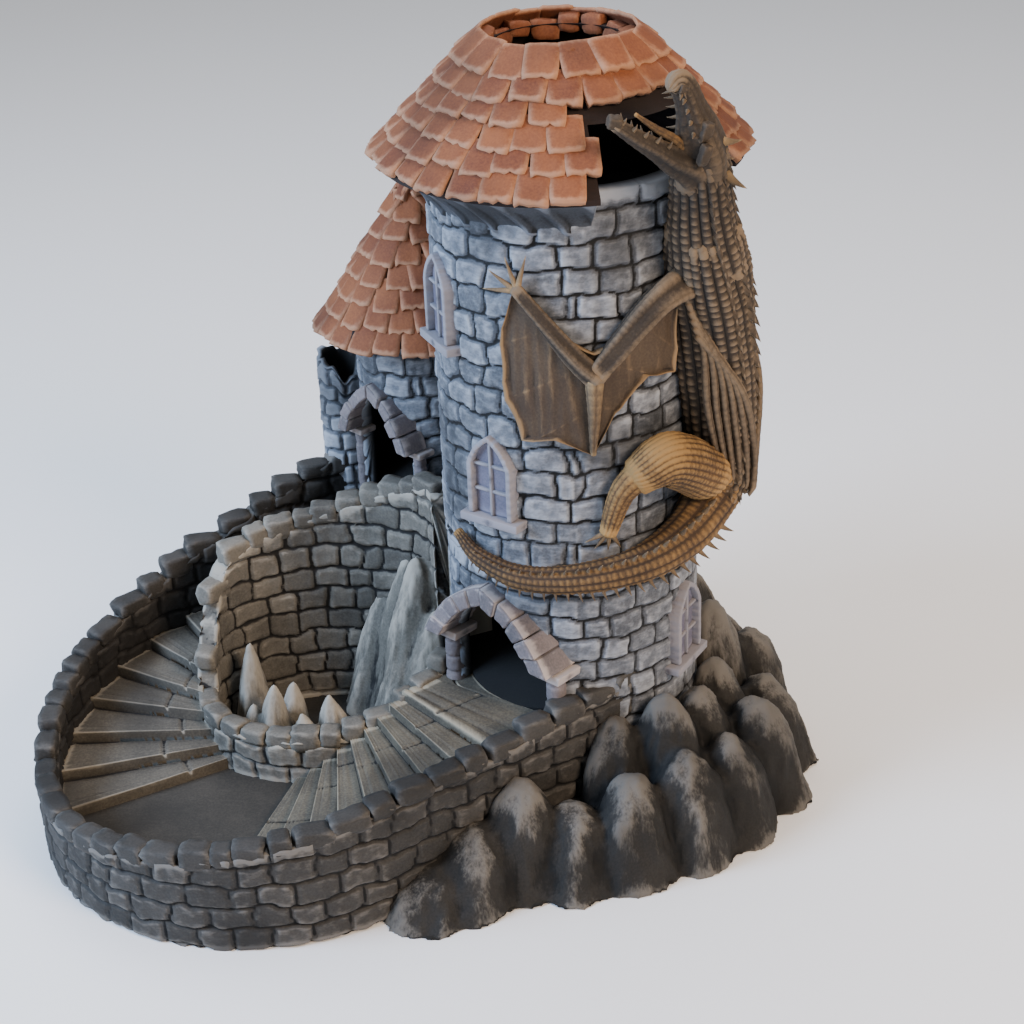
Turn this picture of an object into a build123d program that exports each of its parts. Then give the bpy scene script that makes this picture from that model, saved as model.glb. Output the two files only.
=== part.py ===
"""Dice tower: a ruined castle on a rock, with a dragon wrapped round its main tower.

The frame stands on the main tower's axis: +Z up, -Y to the front, +X to the right.
Dice drop through the broken main roof, fall over two baffles, and roll out of the main
door, down a short flight of stairs and into a walled tray.  Sizes are in millimetres.
"""

import os
from math import acos, atan2, cos, degrees, hypot, radians, sin, sqrt, tan

from build123d import *

# ---- driving dimensions ----------------------------------------------------------------

# court: the walled tray at the left of the main tower
court_centre = (-97.0, -19.0)
court_radius = 72.0
wall_thickness = 6.5
slab_height = 10.0
wall_join_bearing = 31.6
wall_course = 13.0
# top of the curtain wall: share of the wall's run from the main tower, and height
wall_tops = [(0.0, 53.0), (0.13, 45.0), (0.24, 41.0), (0.39, 33.0), (0.50, 27.5), (0.60, 27.0),
             (0.66, 35.0), (0.75, 45.0), (0.82, 56.0), (0.90, 71.0), (1.0, 90.0)]

# ring wall: an oval wall round the pit, low in front and tall behind
ring_centre = (-79.0, 5.5)
ring_half_length = 42.5
ring_half_width = 29.0
ring_thickness = 6.0
ring_course = 11.0
ring_break_turn = -88.0
ring_start_turn = 75.0
ring_end_turn = -258.0
# top of the ring wall: turn round the oval from the front, and height
ring_tops = [(-248.0, 96.0), (-215.0, 90.0), (-180.0, 80.5), (-150.0, 75.5), (-122.0, 69.0),
             (-105.0, 50.0), (-90.0, 33.0), (-75.0, 28.0), (-30.0, 27.0), (0.0, 28.0),
             (20.0, 31.0), (64.0, 44.0)]

# stairs
door_sill = 39.0
short_fan_centre = (-78.0, 12.0)
short_riser = 3.3
short_steps = 8
short_first_bearing = 39.0
short_step_turn = 7.1
long_fan_centre = (-103.0, -8.0)
long_riser = 4.0
long_first_bearing = -62.0
long_fan_steps = 8
long_straight_run = 5.1
small_sill = 72.5

# main tower
lower_radius = 38.0
upper_radius = 38.6
drum_wall = 4.0
seam_height = 88.0
drum_top = 204.0
spigot_height = 4.0
fit_clearance = 0.3
body_clearance = 0.5
corbel_height = 12.0
corbel_radius = 49.0
door_bearing = -43.5
door_width = 36.0
door_spring = 58.5
door_apex = 75.0
arch_band = 7.0
arch_stands_out = 4.0
column_radius = 3.0
capital_height = 3.0
ramp_rise = 24.0
baffle_thickness = 3.0
baffle_slope = 38.0
baffle_reach = 8.0
lower_baffle_height = 122.0
upper_baffle_height = 162.0

# main roof: a truncated cone, broken away where the dragon's head comes over the wall
eave_radius = 51.3
roof_rise = 31.0
roof_rim_radius = 22.5
roof_shell = 4.2
notch_from = 9.0
notch_to = 64.0
notch_rise = 17.0

# small tower
small_centre = (-46.0, 53.0)
small_radius = 20.0
small_wall = 3.5
small_top = 136.5
small_eave_radius = 30.0
small_apex = 179.0
small_shell = 3.5
small_door_bearing = -47.0
small_door_width = 24.5
small_door_spring = 98.5
small_door_apex = 114.5
small_ramp_rise = 14.0
ramp_lip = 1.0

# ruined turret on the corner of the curtain wall
turret_centre = (-73.0, 67.0)
turret_radius = 7.6
turret_bore = 5.6
turret_top = 119.0
turret_floor = 96.0

# windows: bearing, foot of the frame
window_width = 15.5
window_height = 25.5
window_bar = 1.8
window_sill = 2.6
window_stands_out = 2.4
window_bed = 3.0
pane_thickness = 0.8
lower_window = (59.0, 50.0)
front_window = (-37.0, 106.0)
left_window = (-67.0, 155.5)

# rock
rock_lobe_radius = 15.0

# dragon's hide over the drum
wing_gap = 1.2
wing_thickness = 1.8

roof_rim_height = drum_top + roof_rise

os.makedirs("parts", exist_ok=True)


def at(centre, radius, bearing):
    """Point at a bearing round a centre: 0 faces the front (-Y), 90 faces the right (+X)."""
    angle = radians(bearing)
    return (centre[0] + radius * sin(angle), centre[1] - radius * cos(angle))


def bearing_of(centre, point):
    """Bearing of a point seen from a centre."""
    return degrees(atan2(point[0] - centre[0], centre[1] - point[1]))


def facing(centre, radius, bearing, height):
    """Upright plane that faces outwards at a bearing, its own X along the wall and Y up."""
    x, y = at(centre, radius, bearing)
    angle = radians(bearing)
    return Plane(
        origin=(x, y, height),
        x_dir=(cos(angle), sin(angle), 0),
        z_dir=(sin(angle), -cos(angle), 0),
    )


def section_plane(centre, bearing, height):
    """Upright plane through an axis, its own X pointing outwards at a bearing and Y up."""
    return Plane(
        origin=(*centre, height),
        x_dir=(*at((0, 0), 1, bearing), 0),
        z_dir=(*at((0, 0), 1, bearing - 90), 0),
    )


def between(table, position):
    """Straight-line value at a position in a short table of (position, value) pairs."""
    pairs = sorted(table)
    if position <= pairs[0][0]:
        return pairs[0][1]
    for (start, low), (end, high) in zip(pairs, pairs[1:]):
        if position <= end:
            return low + (high - low) * (position - start) / (end - start)
    return pairs[-1][1]


def pointed_arch(width, spring, apex):
    """Pointed arch that stands on the X axis, its sides upright up to the spring line."""
    half = width / 2
    rise = apex - spring
    bulge = 0.10 * hypot(half, rise)
    normal = (rise / hypot(half, rise), half / hypot(half, rise))
    shoulder = (half / 2 + bulge * normal[0], spring + rise / 2 + bulge * normal[1])
    with BuildSketch() as outline:
        with BuildLine():
            Line((-half, 0), (half, 0))
            Line((half, 0), (half, spring))
            ThreePointArc((half, spring), shoulder, (0, apex))
            ThreePointArc((0, apex), (-shoulder[0], shoulder[1]), (-half, spring))
            Line((-half, spring), (-half, 0))
        make_face()
    return outline.sketch


def sector(radius, start, end):
    """Pie slice round the main tower's axis, between two bearings."""
    step_count = int(abs(end - start) // 30) + 1
    turn = (end - start) / step_count
    corners = [at((0, 0), radius, start + turn * i) for i in range(step_count + 1)]
    with BuildSketch() as slice_outline:
        with BuildLine():
            Polyline((0, 0), *corners, close=True)
        make_face()
    return slice_outline.sketch


def finish(part, name):
    """Label one finished piece and write its file."""
    part.label = name
    export_step(part, f"parts/{name}.step")


# ---- the curtain wall's line -------------------------------------------------------------

wall_start = at((0, 0), lower_radius - 1.0, wall_join_bearing)


def tangent_bearing(point, side):
    """Bearing, from the court's centre, where a straight run from a point meets its circle."""
    reach = hypot(point[0] - court_centre[0], point[1] - court_centre[1])
    return bearing_of(court_centre, point) + side * degrees(acos(court_radius / reach))


front_tangent = tangent_bearing(wall_start, -1)
rear_tangent = tangent_bearing(turret_centre, 1) - 360.0


def wall_line(inset):
    """Corners of the curtain wall's face, moved inwards by an inset, from tower to turret."""
    radius = court_radius - inset
    points = []
    for end, tangent in ((wall_start, front_tangent), (turret_centre, rear_tangent)):
        outward = (sin(radians(tangent)), -cos(radians(tangent)))
        corner = at(court_centre, radius, tangent)
        start = (end[0] - inset * outward[0], end[1] - inset * outward[1])
        run = hypot(start[0] - corner[0], start[1] - corner[1])
        count = max(2, round(run / wall_course))
        leg = [
            (start[0] + (corner[0] - start[0]) * i / count, start[1] + (corner[1] - start[1]) * i / count)
            for i in range(count)
        ]
        points.append(leg)
    count = round(radians(front_tangent - rear_tangent) * court_radius / wall_course)
    arc = [
        at(court_centre, radius, front_tangent + (rear_tangent - front_tangent) * i / count)
        for i in range(count + 1)
    ]
    return points[0] + arc + points[1][::-1]


wall_outer = wall_line(0.0)
wall_inner = wall_line(wall_thickness)
wall_length = sum(hypot(b[0] - a[0], b[1] - a[1]) for a, b in zip(wall_outer, wall_outer[1:]))


def ring_point(turn, inset):
    """Point on the ring wall: turn 0 is its front, and the inset is from its outer face."""
    angle = radians(turn)
    return (
        ring_centre[0] + (ring_half_length - inset) * sin(angle),
        ring_centre[1] - (ring_half_width - inset) * cos(angle),
    )


def ring_turns(first, last):
    """Turns at the joints between the ring wall's stones, from one turn to another."""
    count = round(radians(first - last) * ring_half_length * 0.9 / ring_course)
    return [first + (last - first) * i / count for i in range(count + 1)]


low_turns = ring_turns(ring_start_turn, ring_break_turn)
tall_turns = ring_turns(ring_break_turn, ring_end_turn)

# ---- base section ------------------------------------------------------------------------

with BuildPart() as court_slab:
    with BuildSketch(Plane.XY):
        with BuildLine():
            Polyline(*wall_inner, small_centre, (0, 0), close=True)
        make_face()
    extrude(amount=slab_height)
    with BuildSketch(Plane.XY):
        Circle(lower_radius)
        with Locations(small_centre):
            Circle(small_radius)
        with Locations((small_centre[0] / 2, small_centre[1] / 2)):
            Rectangle(
                hypot(*small_centre),
                2 * small_radius,
                rotation=degrees(atan2(small_centre[1], small_centre[0])),
            )
    extrude(amount=slab_height)
    with BuildSketch(Plane.XY):
        with Locations(turret_centre):
            Circle(turret_radius)
    extrude(amount=slab_height, mode=Mode.SUBTRACT)
finish(court_slab.part, "court_slab")

with BuildPart() as curtain_wall:
    run = 0.0
    for index in range(len(wall_outer) - 1):
        near = wall_outer[index]
        far = wall_outer[index + 1]
        stone = hypot(far[0] - near[0], far[1] - near[1])
        top = between(wall_tops, (run + stone / 2) / wall_length)
        run = run + stone
        with BuildSketch(Plane.XY):
            with BuildLine():
                Polyline(near, far, wall_inner[index + 1], wall_inner[index], close=True)
            make_face()
        extrude(amount=top)
    with BuildSketch(Plane.XY):
        Circle(lower_radius)
        with Locations(turret_centre):
            Circle(turret_radius)
    extrude(amount=turret_top, mode=Mode.SUBTRACT)
finish(curtain_wall.part, "curtain_wall")

with BuildPart() as ring_keep_out:
    with BuildSketch(Plane.XY):
        Circle(upper_radius + body_clearance)
        with Locations(small_centre):
            Circle(small_radius)
    extrude(amount=drum_top)
    with BuildSketch(facing((0, 0), 0, door_bearing, door_sill)):
        with Locations((0, door_apex - door_sill)):
            Rectangle(door_width + 4 * column_radius, 4 * (door_apex - door_sill))
    extrude(amount=lower_radius + arch_stands_out + body_clearance)

ring_walls = []
for name, turns in (("ring_wall_low", low_turns), ("ring_wall_tall", tall_turns)):
    with BuildPart() as ring_wall:
        for turn, next_turn in zip(turns, turns[1:]):
            with BuildSketch(Plane.XY.offset(slab_height)):
                with BuildLine():
                    Polyline(
                        ring_point(turn, 0),
                        ring_point(next_turn, 0),
                        ring_point(next_turn, ring_thickness),
                        ring_point(turn, ring_thickness),
                        close=True,
                    )
                make_face()
            extrude(amount=between(ring_tops, (turn + next_turn) / 2) - slab_height)
        add(ring_keep_out.part, mode=Mode.SUBTRACT)
    finish(ring_wall.part, name)
    ring_walls.append(ring_wall.part)

with BuildPart() as ring_footprint:
    with BuildSketch(Plane.XY):
        with BuildLine():
            Polyline(*[ring_point(turn, 0) for turn in low_turns + tall_turns[1:]], close=True)
        make_face()
    extrude(amount=drum_top)
    with BuildSketch(Plane.XY):
        Circle(lower_radius)
        with Locations(small_centre):
            Circle(small_radius)
        with Locations(turret_centre):
            Circle(turret_radius)
    extrude(amount=drum_top)

with BuildPart() as court_air:
    with BuildSketch(Plane.XY.offset(slab_height)):
        with BuildLine():
            Polyline(*wall_inner, small_centre, (0, 0), close=True)
        make_face()
    extrude(amount=small_sill)
    add(ring_footprint.part, mode=Mode.SUBTRACT)


def wedge(centre, start, end):
    """Outline of one winding step: a slice between two bearings, wide enough to be trimmed."""
    far = 2.0 * court_radius
    return [centre, at(centre, far, start), at(centre, far, end)]


with BuildPart() as stair_short:
    with BuildSketch(Plane.XY.offset(slab_height)):
        with BuildLine():
            Polyline(
                short_fan_centre,
                at(short_fan_centre, court_radius, short_first_bearing),
                at(short_fan_centre, 2 * court_radius, short_first_bearing + 30),
                (0, 0),
                close=True,
            )
        make_face()
    extrude(amount=door_sill - slab_height)
    for step in range(short_steps):
        start = short_first_bearing - step * short_step_turn
        with BuildSketch(Plane.XY.offset(slab_height)):
            with BuildLine():
                Polyline(*wedge(short_fan_centre, start, start - short_step_turn), close=True)
            make_face()
        extrude(amount=door_sill - (step + 1) * short_riser - slab_height)
    add(court_air.part, mode=Mode.INTERSECT)
short_flight = stair_short.part.solids().sort_by(SortBy.VOLUME)[-1]
finish(short_flight, "stair_short")

long_step_turn = (180.0 + long_first_bearing) / long_fan_steps
fan_top = slab_height + long_fan_steps * long_riser
with BuildPart() as stair_long:
    for step in range(long_fan_steps):
        start = long_first_bearing - step * long_step_turn
        with BuildSketch(Plane.XY.offset(slab_height)):
            with BuildLine():
                Polyline(*wedge(long_fan_centre, start, start - long_step_turn), close=True)
            make_face()
        extrude(amount=(step + 1) * long_riser)
    straight_steps = round((small_sill - fan_top) / long_riser)
    front = ring_centre[1]
    back = front + 2 * court_radius
    for step in range(straight_steps):
        left = long_fan_centre[0] + step * long_straight_run
        right = left + long_straight_run if step < straight_steps - 1 else 0.0
        with BuildSketch(Plane.XY.offset(slab_height)):
            with BuildLine():
                Polyline((left, front), (right, front), (right, back), (left, back), close=True)
            make_face()
        extrude(amount=(small_sill - slab_height) - (straight_steps - 1 - step) * long_riser)
    add(court_air.part, mode=Mode.INTERSECT)
    add(short_flight, mode=Mode.SUBTRACT)
finish(stair_long.part.solids().sort_by(SortBy.VOLUME)[-1], "stair_long")

shards = [(-104.5, 9, 5.5, 27), (-97, -5, 5.5, 22), (-86, -8, 5.0, 15), (-104, -2, 4.0, 14),
          (-92, 4, 5.0, 17), (-77, -6, 5.5, 19)]
with BuildPart() as pit_shards:
    for x, y, radius, height in shards:
        with Locations((x, y, slab_height + height / 2)):
            Cone(radius, 1.2, height)
finish(pit_shards.part, "pit_shards")

boulders = [(-50, 12, 8.0, 66), (-60, 16, 7.0, 56), (-52, 0, 6.0, 44), (-68, 22, 6.5, 42),
            (-62, 3, 5.5, 34)]
with BuildPart() as pit_boulders:
    for x, y, radius, height in boulders:
        with Locations((x, y, slab_height + height / 2)):
            Cone(radius, 0.55 * radius, height)
    with BuildSketch(Plane.XY.offset(slab_height)):
        with BuildLine():
            Polyline(
                *[ring_point(turn, ring_thickness + body_clearance) for turn in low_turns + tall_turns[1:]],
                close=True,
            )
        make_face()
    extrude(amount=drum_top, mode=Mode.INTERSECT)
    add(ring_keep_out.part, mode=Mode.SUBTRACT)
finish(pit_boulders.part, "pit_boulders")

with BuildPart() as wall_footprint:
    with BuildSketch(Plane.XY):
        with BuildLine():
            Polyline(*wall_outer, small_centre, (0, 0), close=True)
        make_face()
        Circle(lower_radius)
        with Locations(small_centre):
            Circle(small_radius)
        with Locations(turret_centre):
            Circle(turret_radius)
    extrude(amount=drum_top)

# cliff: bearing, how far out from the tower's wall its middle lies, and height
tall_lobes = [(14, 7, 40), (34, 10, 46), (55, 9, 40), (77, 9, 41), (99, 9, 52), (121, 9, 56),
              (143, 9, 58), (165, 9, 60), (187, 12, 62)]
low_lobes = [(-4, 26, 24), (13, 24, 30), (31, 23, 33), (49, 23, 30), (67, 24, 34), (86, 24, 30),
             (105, 24, 36), (124, 24, 32), (143, 24, 38), (162, 25, 34), (181, 28, 38), (197, 36, 42)]
# behind the small tower, and out along the foot of the curtain wall: place, and height
small_lobes = [
    (*at(small_centre, small_radius + out, bearing), height)
    for bearing, out, height in ((140, 6, 56), (165, 7, 50), (190, 7, 58), (214, 7, 52))
]
foot_lobes = [(-47, -75, 13), (-34, -70, 22), (-20, -63, 32)]
foot_bearing = -70.0
split_bearing = 92.0
small_tower_bearing = 250.0

for name, first_bearing, last_bearing, other_lobes in (
    ("rock_skirt_front", foot_bearing, split_bearing, foot_lobes),
    ("rock_skirt_back", split_bearing, small_tower_bearing, small_lobes),
):
    cliff = [
        (*at((0, 0), lower_radius + out, bearing), height)
        for bearing, out, height in tall_lobes + low_lobes
        if first_bearing < bearing < last_bearing
    ]
    with BuildPart() as rock_skirt:
        for x, y, height in cliff + other_lobes:
            with Locations((x, y, height / 2)):
                Cone(rock_lobe_radius, 0.45 * rock_lobe_radius, height)
        with BuildSketch(Plane.XY):
            add(sector(4 * eave_radius, first_bearing, last_bearing))
        extrude(amount=drum_top, mode=Mode.INTERSECT)
        add(wall_footprint.part, mode=Mode.SUBTRACT)
        add(court_slab.part, mode=Mode.SUBTRACT)
    finish(rock_skirt.part, name)

with BuildPart() as lower_drum:
    with BuildSketch(Plane.XY.offset(slab_height)):
        Circle(lower_radius)
        Circle(lower_radius - drum_wall, mode=Mode.SUBTRACT)
    extrude(amount=seam_height - slab_height)
    with BuildSketch(Plane.XY.offset(seam_height)):
        Circle(lower_radius - drum_wall / 2)
        Circle(lower_radius - drum_wall, mode=Mode.SUBTRACT)
    extrude(amount=spigot_height)
    with BuildSketch(facing((0, 0), 0, door_bearing, door_sill)):
        add(pointed_arch(door_width, door_spring - door_sill, door_apex - door_sill))
    extrude(amount=2 * lower_radius, mode=Mode.SUBTRACT)
finish(lower_drum.part, "lower_drum")

with BuildPart() as exit_ramp:
    bore = lower_radius - drum_wall
    lip = door_sill - slab_height
    with BuildSketch(section_plane((0, 0), door_bearing, slab_height)):
        with BuildLine():
            Polyline((-bore, 0), (bore, 0), (bore, lip), (-bore, lip + ramp_rise), close=True)
        make_face()
    extrude(amount=bore, both=True)
    with BuildSketch(Plane.XY.offset(slab_height)):
        Circle(bore)
    extrude(amount=seam_height, mode=Mode.INTERSECT)
finish(exit_ramp.part, "exit_ramp")

arch_foot = door_spring - door_sill
on_its_foot = (Align.CENTER, Align.CENTER, Align.MIN)
with BuildPart() as main_door_arch:
    with BuildSketch(facing((0, 0), 0, door_bearing, door_sill)):
        add(pointed_arch(door_width + 2 * arch_band, arch_foot, door_apex - door_sill + arch_band))
        add(pointed_arch(door_width, arch_foot, door_apex - door_sill), mode=Mode.SUBTRACT)
        with Locations((0, 0)):
            Rectangle(3 * door_width, 2 * arch_foot, mode=Mode.SUBTRACT)
    extrude(amount=lower_radius + arch_stands_out)
    with BuildSketch(Plane.XY):
        Circle(lower_radius)
    extrude(amount=drum_top, mode=Mode.SUBTRACT)
finish(main_door_arch.part, "main_door_arch")

with BuildPart() as main_door_columns:
    for side in (-1, 1):
        across = side * (door_width / 2 + column_radius)
        out = sqrt(lower_radius**2 - across**2) + 1.0
        foot = facing((0, 0), out, door_bearing, door_sill)
        with Locations(foot.location * Location((across, 0, 0), (-90, 0, 0))):
            Cylinder(column_radius, arch_foot - capital_height, align=on_its_foot)
        with BuildSketch(foot):
            with Locations((across, arch_foot - capital_height / 2)):
                Rectangle(3.4 * column_radius, capital_height)
        extrude(amount=arch_stands_out - body_clearance, both=True)
    with BuildSketch(Plane.XY):
        Circle(lower_radius)
    extrude(amount=drum_top, mode=Mode.SUBTRACT)
    add(curtain_wall.part, mode=Mode.SUBTRACT)
finish(main_door_columns.part, "main_door_columns")

# ---- windows ---------------------------------------------------------------------------------

window_spring = 0.62 * window_height
glass_width = window_width - 2 * window_bar
mullion = 0.7 * window_bar
for name, (bearing, foot_height), wall_radius in (
    ("lower_window", lower_window, lower_radius),
    ("front_window", front_window, upper_radius),
    ("left_window", left_window, upper_radius),
):
    with BuildPart() as frame:
        with BuildSketch(facing((0, 0), wall_radius - window_bed, bearing, foot_height)):
            add(pointed_arch(window_width, window_spring, window_height))
            add(pointed_arch(glass_width, window_spring, window_height - window_bar), mode=Mode.SUBTRACT)
            with Locations((0, window_height / 2)):
                Rectangle(mullion, window_height)
            with Locations((0, window_spring / 2), (0, window_spring)):
                Rectangle(window_width, mullion)
            with Locations((0, -window_sill / 2)):
                Rectangle(window_width + 2 * window_stands_out, window_sill)
        extrude(amount=window_bed + window_stands_out)
        with BuildSketch(Plane.XY):
            Circle(wall_radius)
        extrude(amount=roof_rim_height, mode=Mode.SUBTRACT)
    finish(frame.part, f"{name}_frame")
    with BuildPart() as pane:
        with BuildSketch(facing((0, 0), 0, bearing, foot_height)):
            add(pointed_arch(glass_width, window_spring, window_height - window_bar))
        extrude(amount=2 * wall_radius)
        with BuildSketch(Plane.XY):
            Circle(wall_radius + pane_thickness)
            Circle(wall_radius, mode=Mode.SUBTRACT)
        extrude(amount=roof_rim_height, mode=Mode.INTERSECT)
        add(frame.part, mode=Mode.SUBTRACT)
    finish(pane.part, f"{name}_pane")

# ---- small tower ------------------------------------------------------------------------------

small_bore = small_radius - small_wall
small_arch_foot = small_door_spring - small_sill
small_arch_top = small_door_apex - small_sill
small_band = 0.7 * arch_band
with BuildPart() as small_tower_drum:
    with BuildSketch(Plane.XY.offset(slab_height)):
        with Locations(small_centre):
            Circle(small_radius)
    extrude(amount=small_top - slab_height)
    with BuildSketch(Plane.XY.offset(small_sill)):
        with Locations(small_centre):
            Circle(small_bore)
    extrude(amount=small_top, mode=Mode.SUBTRACT)
    with BuildSketch(facing(small_centre, 0, small_door_bearing, small_sill)):
        add(pointed_arch(small_door_width, small_arch_foot, small_arch_top))
    extrude(amount=2 * small_radius, mode=Mode.SUBTRACT)
finish(small_tower_drum.part, "small_tower_drum")

with BuildPart() as small_tower_ramp:
    with BuildSketch(section_plane(small_centre, small_door_bearing, small_sill)):
        with BuildLine():
            Polyline(
                (-small_bore, 0),
                (small_bore, 0),
                (small_bore, ramp_lip),
                (-small_bore, small_ramp_rise),
                close=True,
            )
        make_face()
    extrude(amount=small_bore, both=True)
    with BuildSketch(Plane.XY.offset(small_sill)):
        with Locations(small_centre):
            Circle(small_bore)
    extrude(amount=small_top, mode=Mode.INTERSECT)
finish(small_tower_ramp.part, "small_tower_ramp")

with BuildPart() as small_door_arch:
    with BuildSketch(facing(small_centre, 0, small_door_bearing, small_sill)):
        add(pointed_arch(small_door_width + 2 * small_band, small_arch_foot, small_arch_top + small_band))
        add(pointed_arch(small_door_width, small_arch_foot, small_arch_top), mode=Mode.SUBTRACT)
        with Locations((0, 0)):
            Rectangle(3 * small_door_width, 2 * small_arch_foot, mode=Mode.SUBTRACT)
    extrude(amount=small_radius + 0.8 * arch_stands_out)
    with BuildSketch(Plane.XY):
        with Locations(small_centre):
            Circle(small_radius)
    extrude(amount=drum_top, mode=Mode.SUBTRACT)
finish(small_door_arch.part, "small_door_arch")

small_column = 0.7 * column_radius
small_capital = 0.8 * capital_height
with BuildPart() as small_door_columns:
    for side in (-1, 1):
        across = side * (small_door_width / 2 + small_column)
        out = sqrt(small_radius**2 - across**2) + 0.8
        foot = facing(small_centre, out, small_door_bearing, small_sill)
        with Locations(foot.location * Location((across, 0, 0), (-90, 0, 0))):
            Cylinder(small_column, small_arch_foot - small_capital, align=on_its_foot)
        with BuildSketch(foot):
            with Locations((across, small_arch_foot - small_capital / 2)):
                Rectangle(3.2 * small_column, small_capital)
        extrude(amount=0.7 * arch_stands_out, both=True)
    with BuildSketch(Plane.XY):
        with Locations(small_centre):
            Circle(small_radius)
    extrude(amount=drum_top, mode=Mode.SUBTRACT)
    for wall in ring_walls:
        add(wall, mode=Mode.SUBTRACT)
finish(small_door_columns.part, "small_door_columns")

with BuildPart() as ruined_turret:
    with BuildSketch(Plane.XY):
        with Locations(turret_centre):
            Circle(turret_radius)
    extrude(amount=turret_floor)
    with BuildSketch(Plane.XY.offset(turret_floor)):
        with Locations(turret_centre):
            Circle(turret_radius)
    extrude(amount=turret_top - turret_floor)
    with BuildSketch(Plane.XY.offset(turret_floor)):
        with Locations(turret_centre):
            Circle(turret_bore)
    extrude(amount=turret_top, mode=Mode.SUBTRACT)
    with BuildSketch(Plane.XY):
        with Locations(small_centre):
            Circle(small_radius)
    extrude(amount=drum_top, mode=Mode.SUBTRACT)
finish(ruined_turret.part, "ruined_turret")

# ---- upper section -------------------------------------------------------------------------------

upper_bore = lower_radius - drum_wall
with BuildPart() as upper_drum:
    with BuildSketch(Plane.XY.offset(seam_height)):
        Circle(upper_radius)
        Circle(upper_bore, mode=Mode.SUBTRACT)
    extrude(amount=drum_top - seam_height)
    with BuildSketch(Plane.XY.offset(seam_height)):
        Circle(lower_radius - drum_wall / 2 + fit_clearance)
    extrude(amount=spigot_height + fit_clearance, mode=Mode.SUBTRACT)
finish(upper_drum.part, "upper_drum")

with BuildPart() as corbel_ring:
    with BuildSketch(Plane.XZ):
        with BuildLine():
            Polyline(
                (upper_radius, drum_top - corbel_height),
                (upper_radius + 1.0, drum_top - corbel_height),
                (corbel_radius, drum_top - 2.5),
                (corbel_radius, drum_top),
                (upper_radius, drum_top),
                close=True,
            )
        make_face()
    revolve(axis=Axis.Z)
    with BuildSketch(Plane.XY):
        add(sector(2 * eave_radius, notch_from, notch_to))
    extrude(amount=roof_rim_height, mode=Mode.SUBTRACT)
finish(corbel_ring.part, "corbel_ring")

baffle_fall = tan(radians(baffle_slope))
for name, height, bearing in (
    ("lower_baffle", lower_baffle_height, door_bearing),
    ("upper_baffle", upper_baffle_height, door_bearing + 180),
):
    with BuildPart() as baffle:
        with BuildSketch(section_plane((0, 0), bearing, height)):
            with BuildLine():
                Polyline(
                    (upper_bore, upper_bore * baffle_fall),
                    (upper_bore, upper_bore * baffle_fall - baffle_thickness),
                    (-baffle_reach, -baffle_reach * baffle_fall - baffle_thickness),
                    (-baffle_reach, -baffle_reach * baffle_fall),
                    close=True,
                )
            make_face()
        extrude(amount=upper_bore, both=True)
        with BuildSketch(Plane.XY.offset(seam_height)):
            Circle(upper_bore)
        extrude(amount=drum_top, mode=Mode.INTERSECT)
    finish(baffle.part, name)

# ---- dragon ------------------------------------------------------------------------------------------
# Each limb is a chain of tapering lengths: bearing round the main tower, distance from its
# axis, height, and radius of the limb there.

tail_chain = [(-56, 41.5, 97, 1.4), (-42, 42.2, 92.5, 2.6), (-22, 42.5, 89.5, 3.8), (2, 43.0, 90.5, 4.6),
              (26, 44.0, 93, 5.6), (46, 45.0, 98, 7.0), (62, 46.0, 106, 8.6)]
torso_chain = [(62, 46.0, 106, 8.6), (67, 46.5, 119, 10.5), (66, 46.0, 138, 12.0), (63, 45.5, 156, 12.5),
               (58, 45.5, 172, 12.5), (52, 47.0, 185, 11.0)]
neck_chain = [(52, 47.0, 185, 11.0), (47, 49.0, 196, 9.5), (43, 51.5, 206, 8.5), (40, 53.5, 213, 8.0)]
skull_chain = [(40, 53.5, 213, 8.0), (37, 54.5, 221, 7.3), (33, 55.5, 229, 4.8), (29.5, 55.0, 234, 2.2)]
jaw_chain = [(36, 54.5, 211, 5.2), (25, 54.5, 217.5, 3.2), (12.5, 54.0, 226, 1.5)]
near_arm_chain = [(50, 44.0, 174, 6.0), (32, 43.5, 171, 4.4), (8, 43.0, 153, 3.2), (-21, 41.5, 178, 2.0)]
near_leg_chain = [(56, 45.5, 114, 7.5), (34, 45.5, 124, 8.0), (18, 43.5, 116, 4.6), (12, 42.5, 104, 3.0)]
far_arm_chain = [(80, 45.0, 174, 6.0), (98, 44.0, 171, 4.4), (122, 44.0, 153, 3.2), (151, 42.5, 178, 2.0)]
far_leg_chain = [(76, 45.5, 114, 7.5), (98, 45.5, 124, 8.0), (114, 43.5, 116, 4.6), (120, 42.5, 104, 3.0)]
dragon_middle = 65.0


def chain_points(chain):
    """Centres and radii of a limb's joints."""
    return [
        (Vector(*at((0, 0), reach, bearing), height), radius)
        for bearing, reach, height, radius in chain
    ]


with BuildPart() as hide_keep_out:
    with BuildSketch(Plane.XY.offset(seam_height / 2)):
        Circle(upper_radius)
    extrude(amount=drum_top - seam_height / 2)
    add(corbel_ring.part)
    with BuildSketch(facing((0, 0), lower_radius, *lower_window)):
        with Locations((0, window_height / 2)):
            Rectangle(window_width + 4 * body_clearance, window_height + 4 * body_clearance)
    extrude(amount=window_stands_out + body_clearance)

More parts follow.
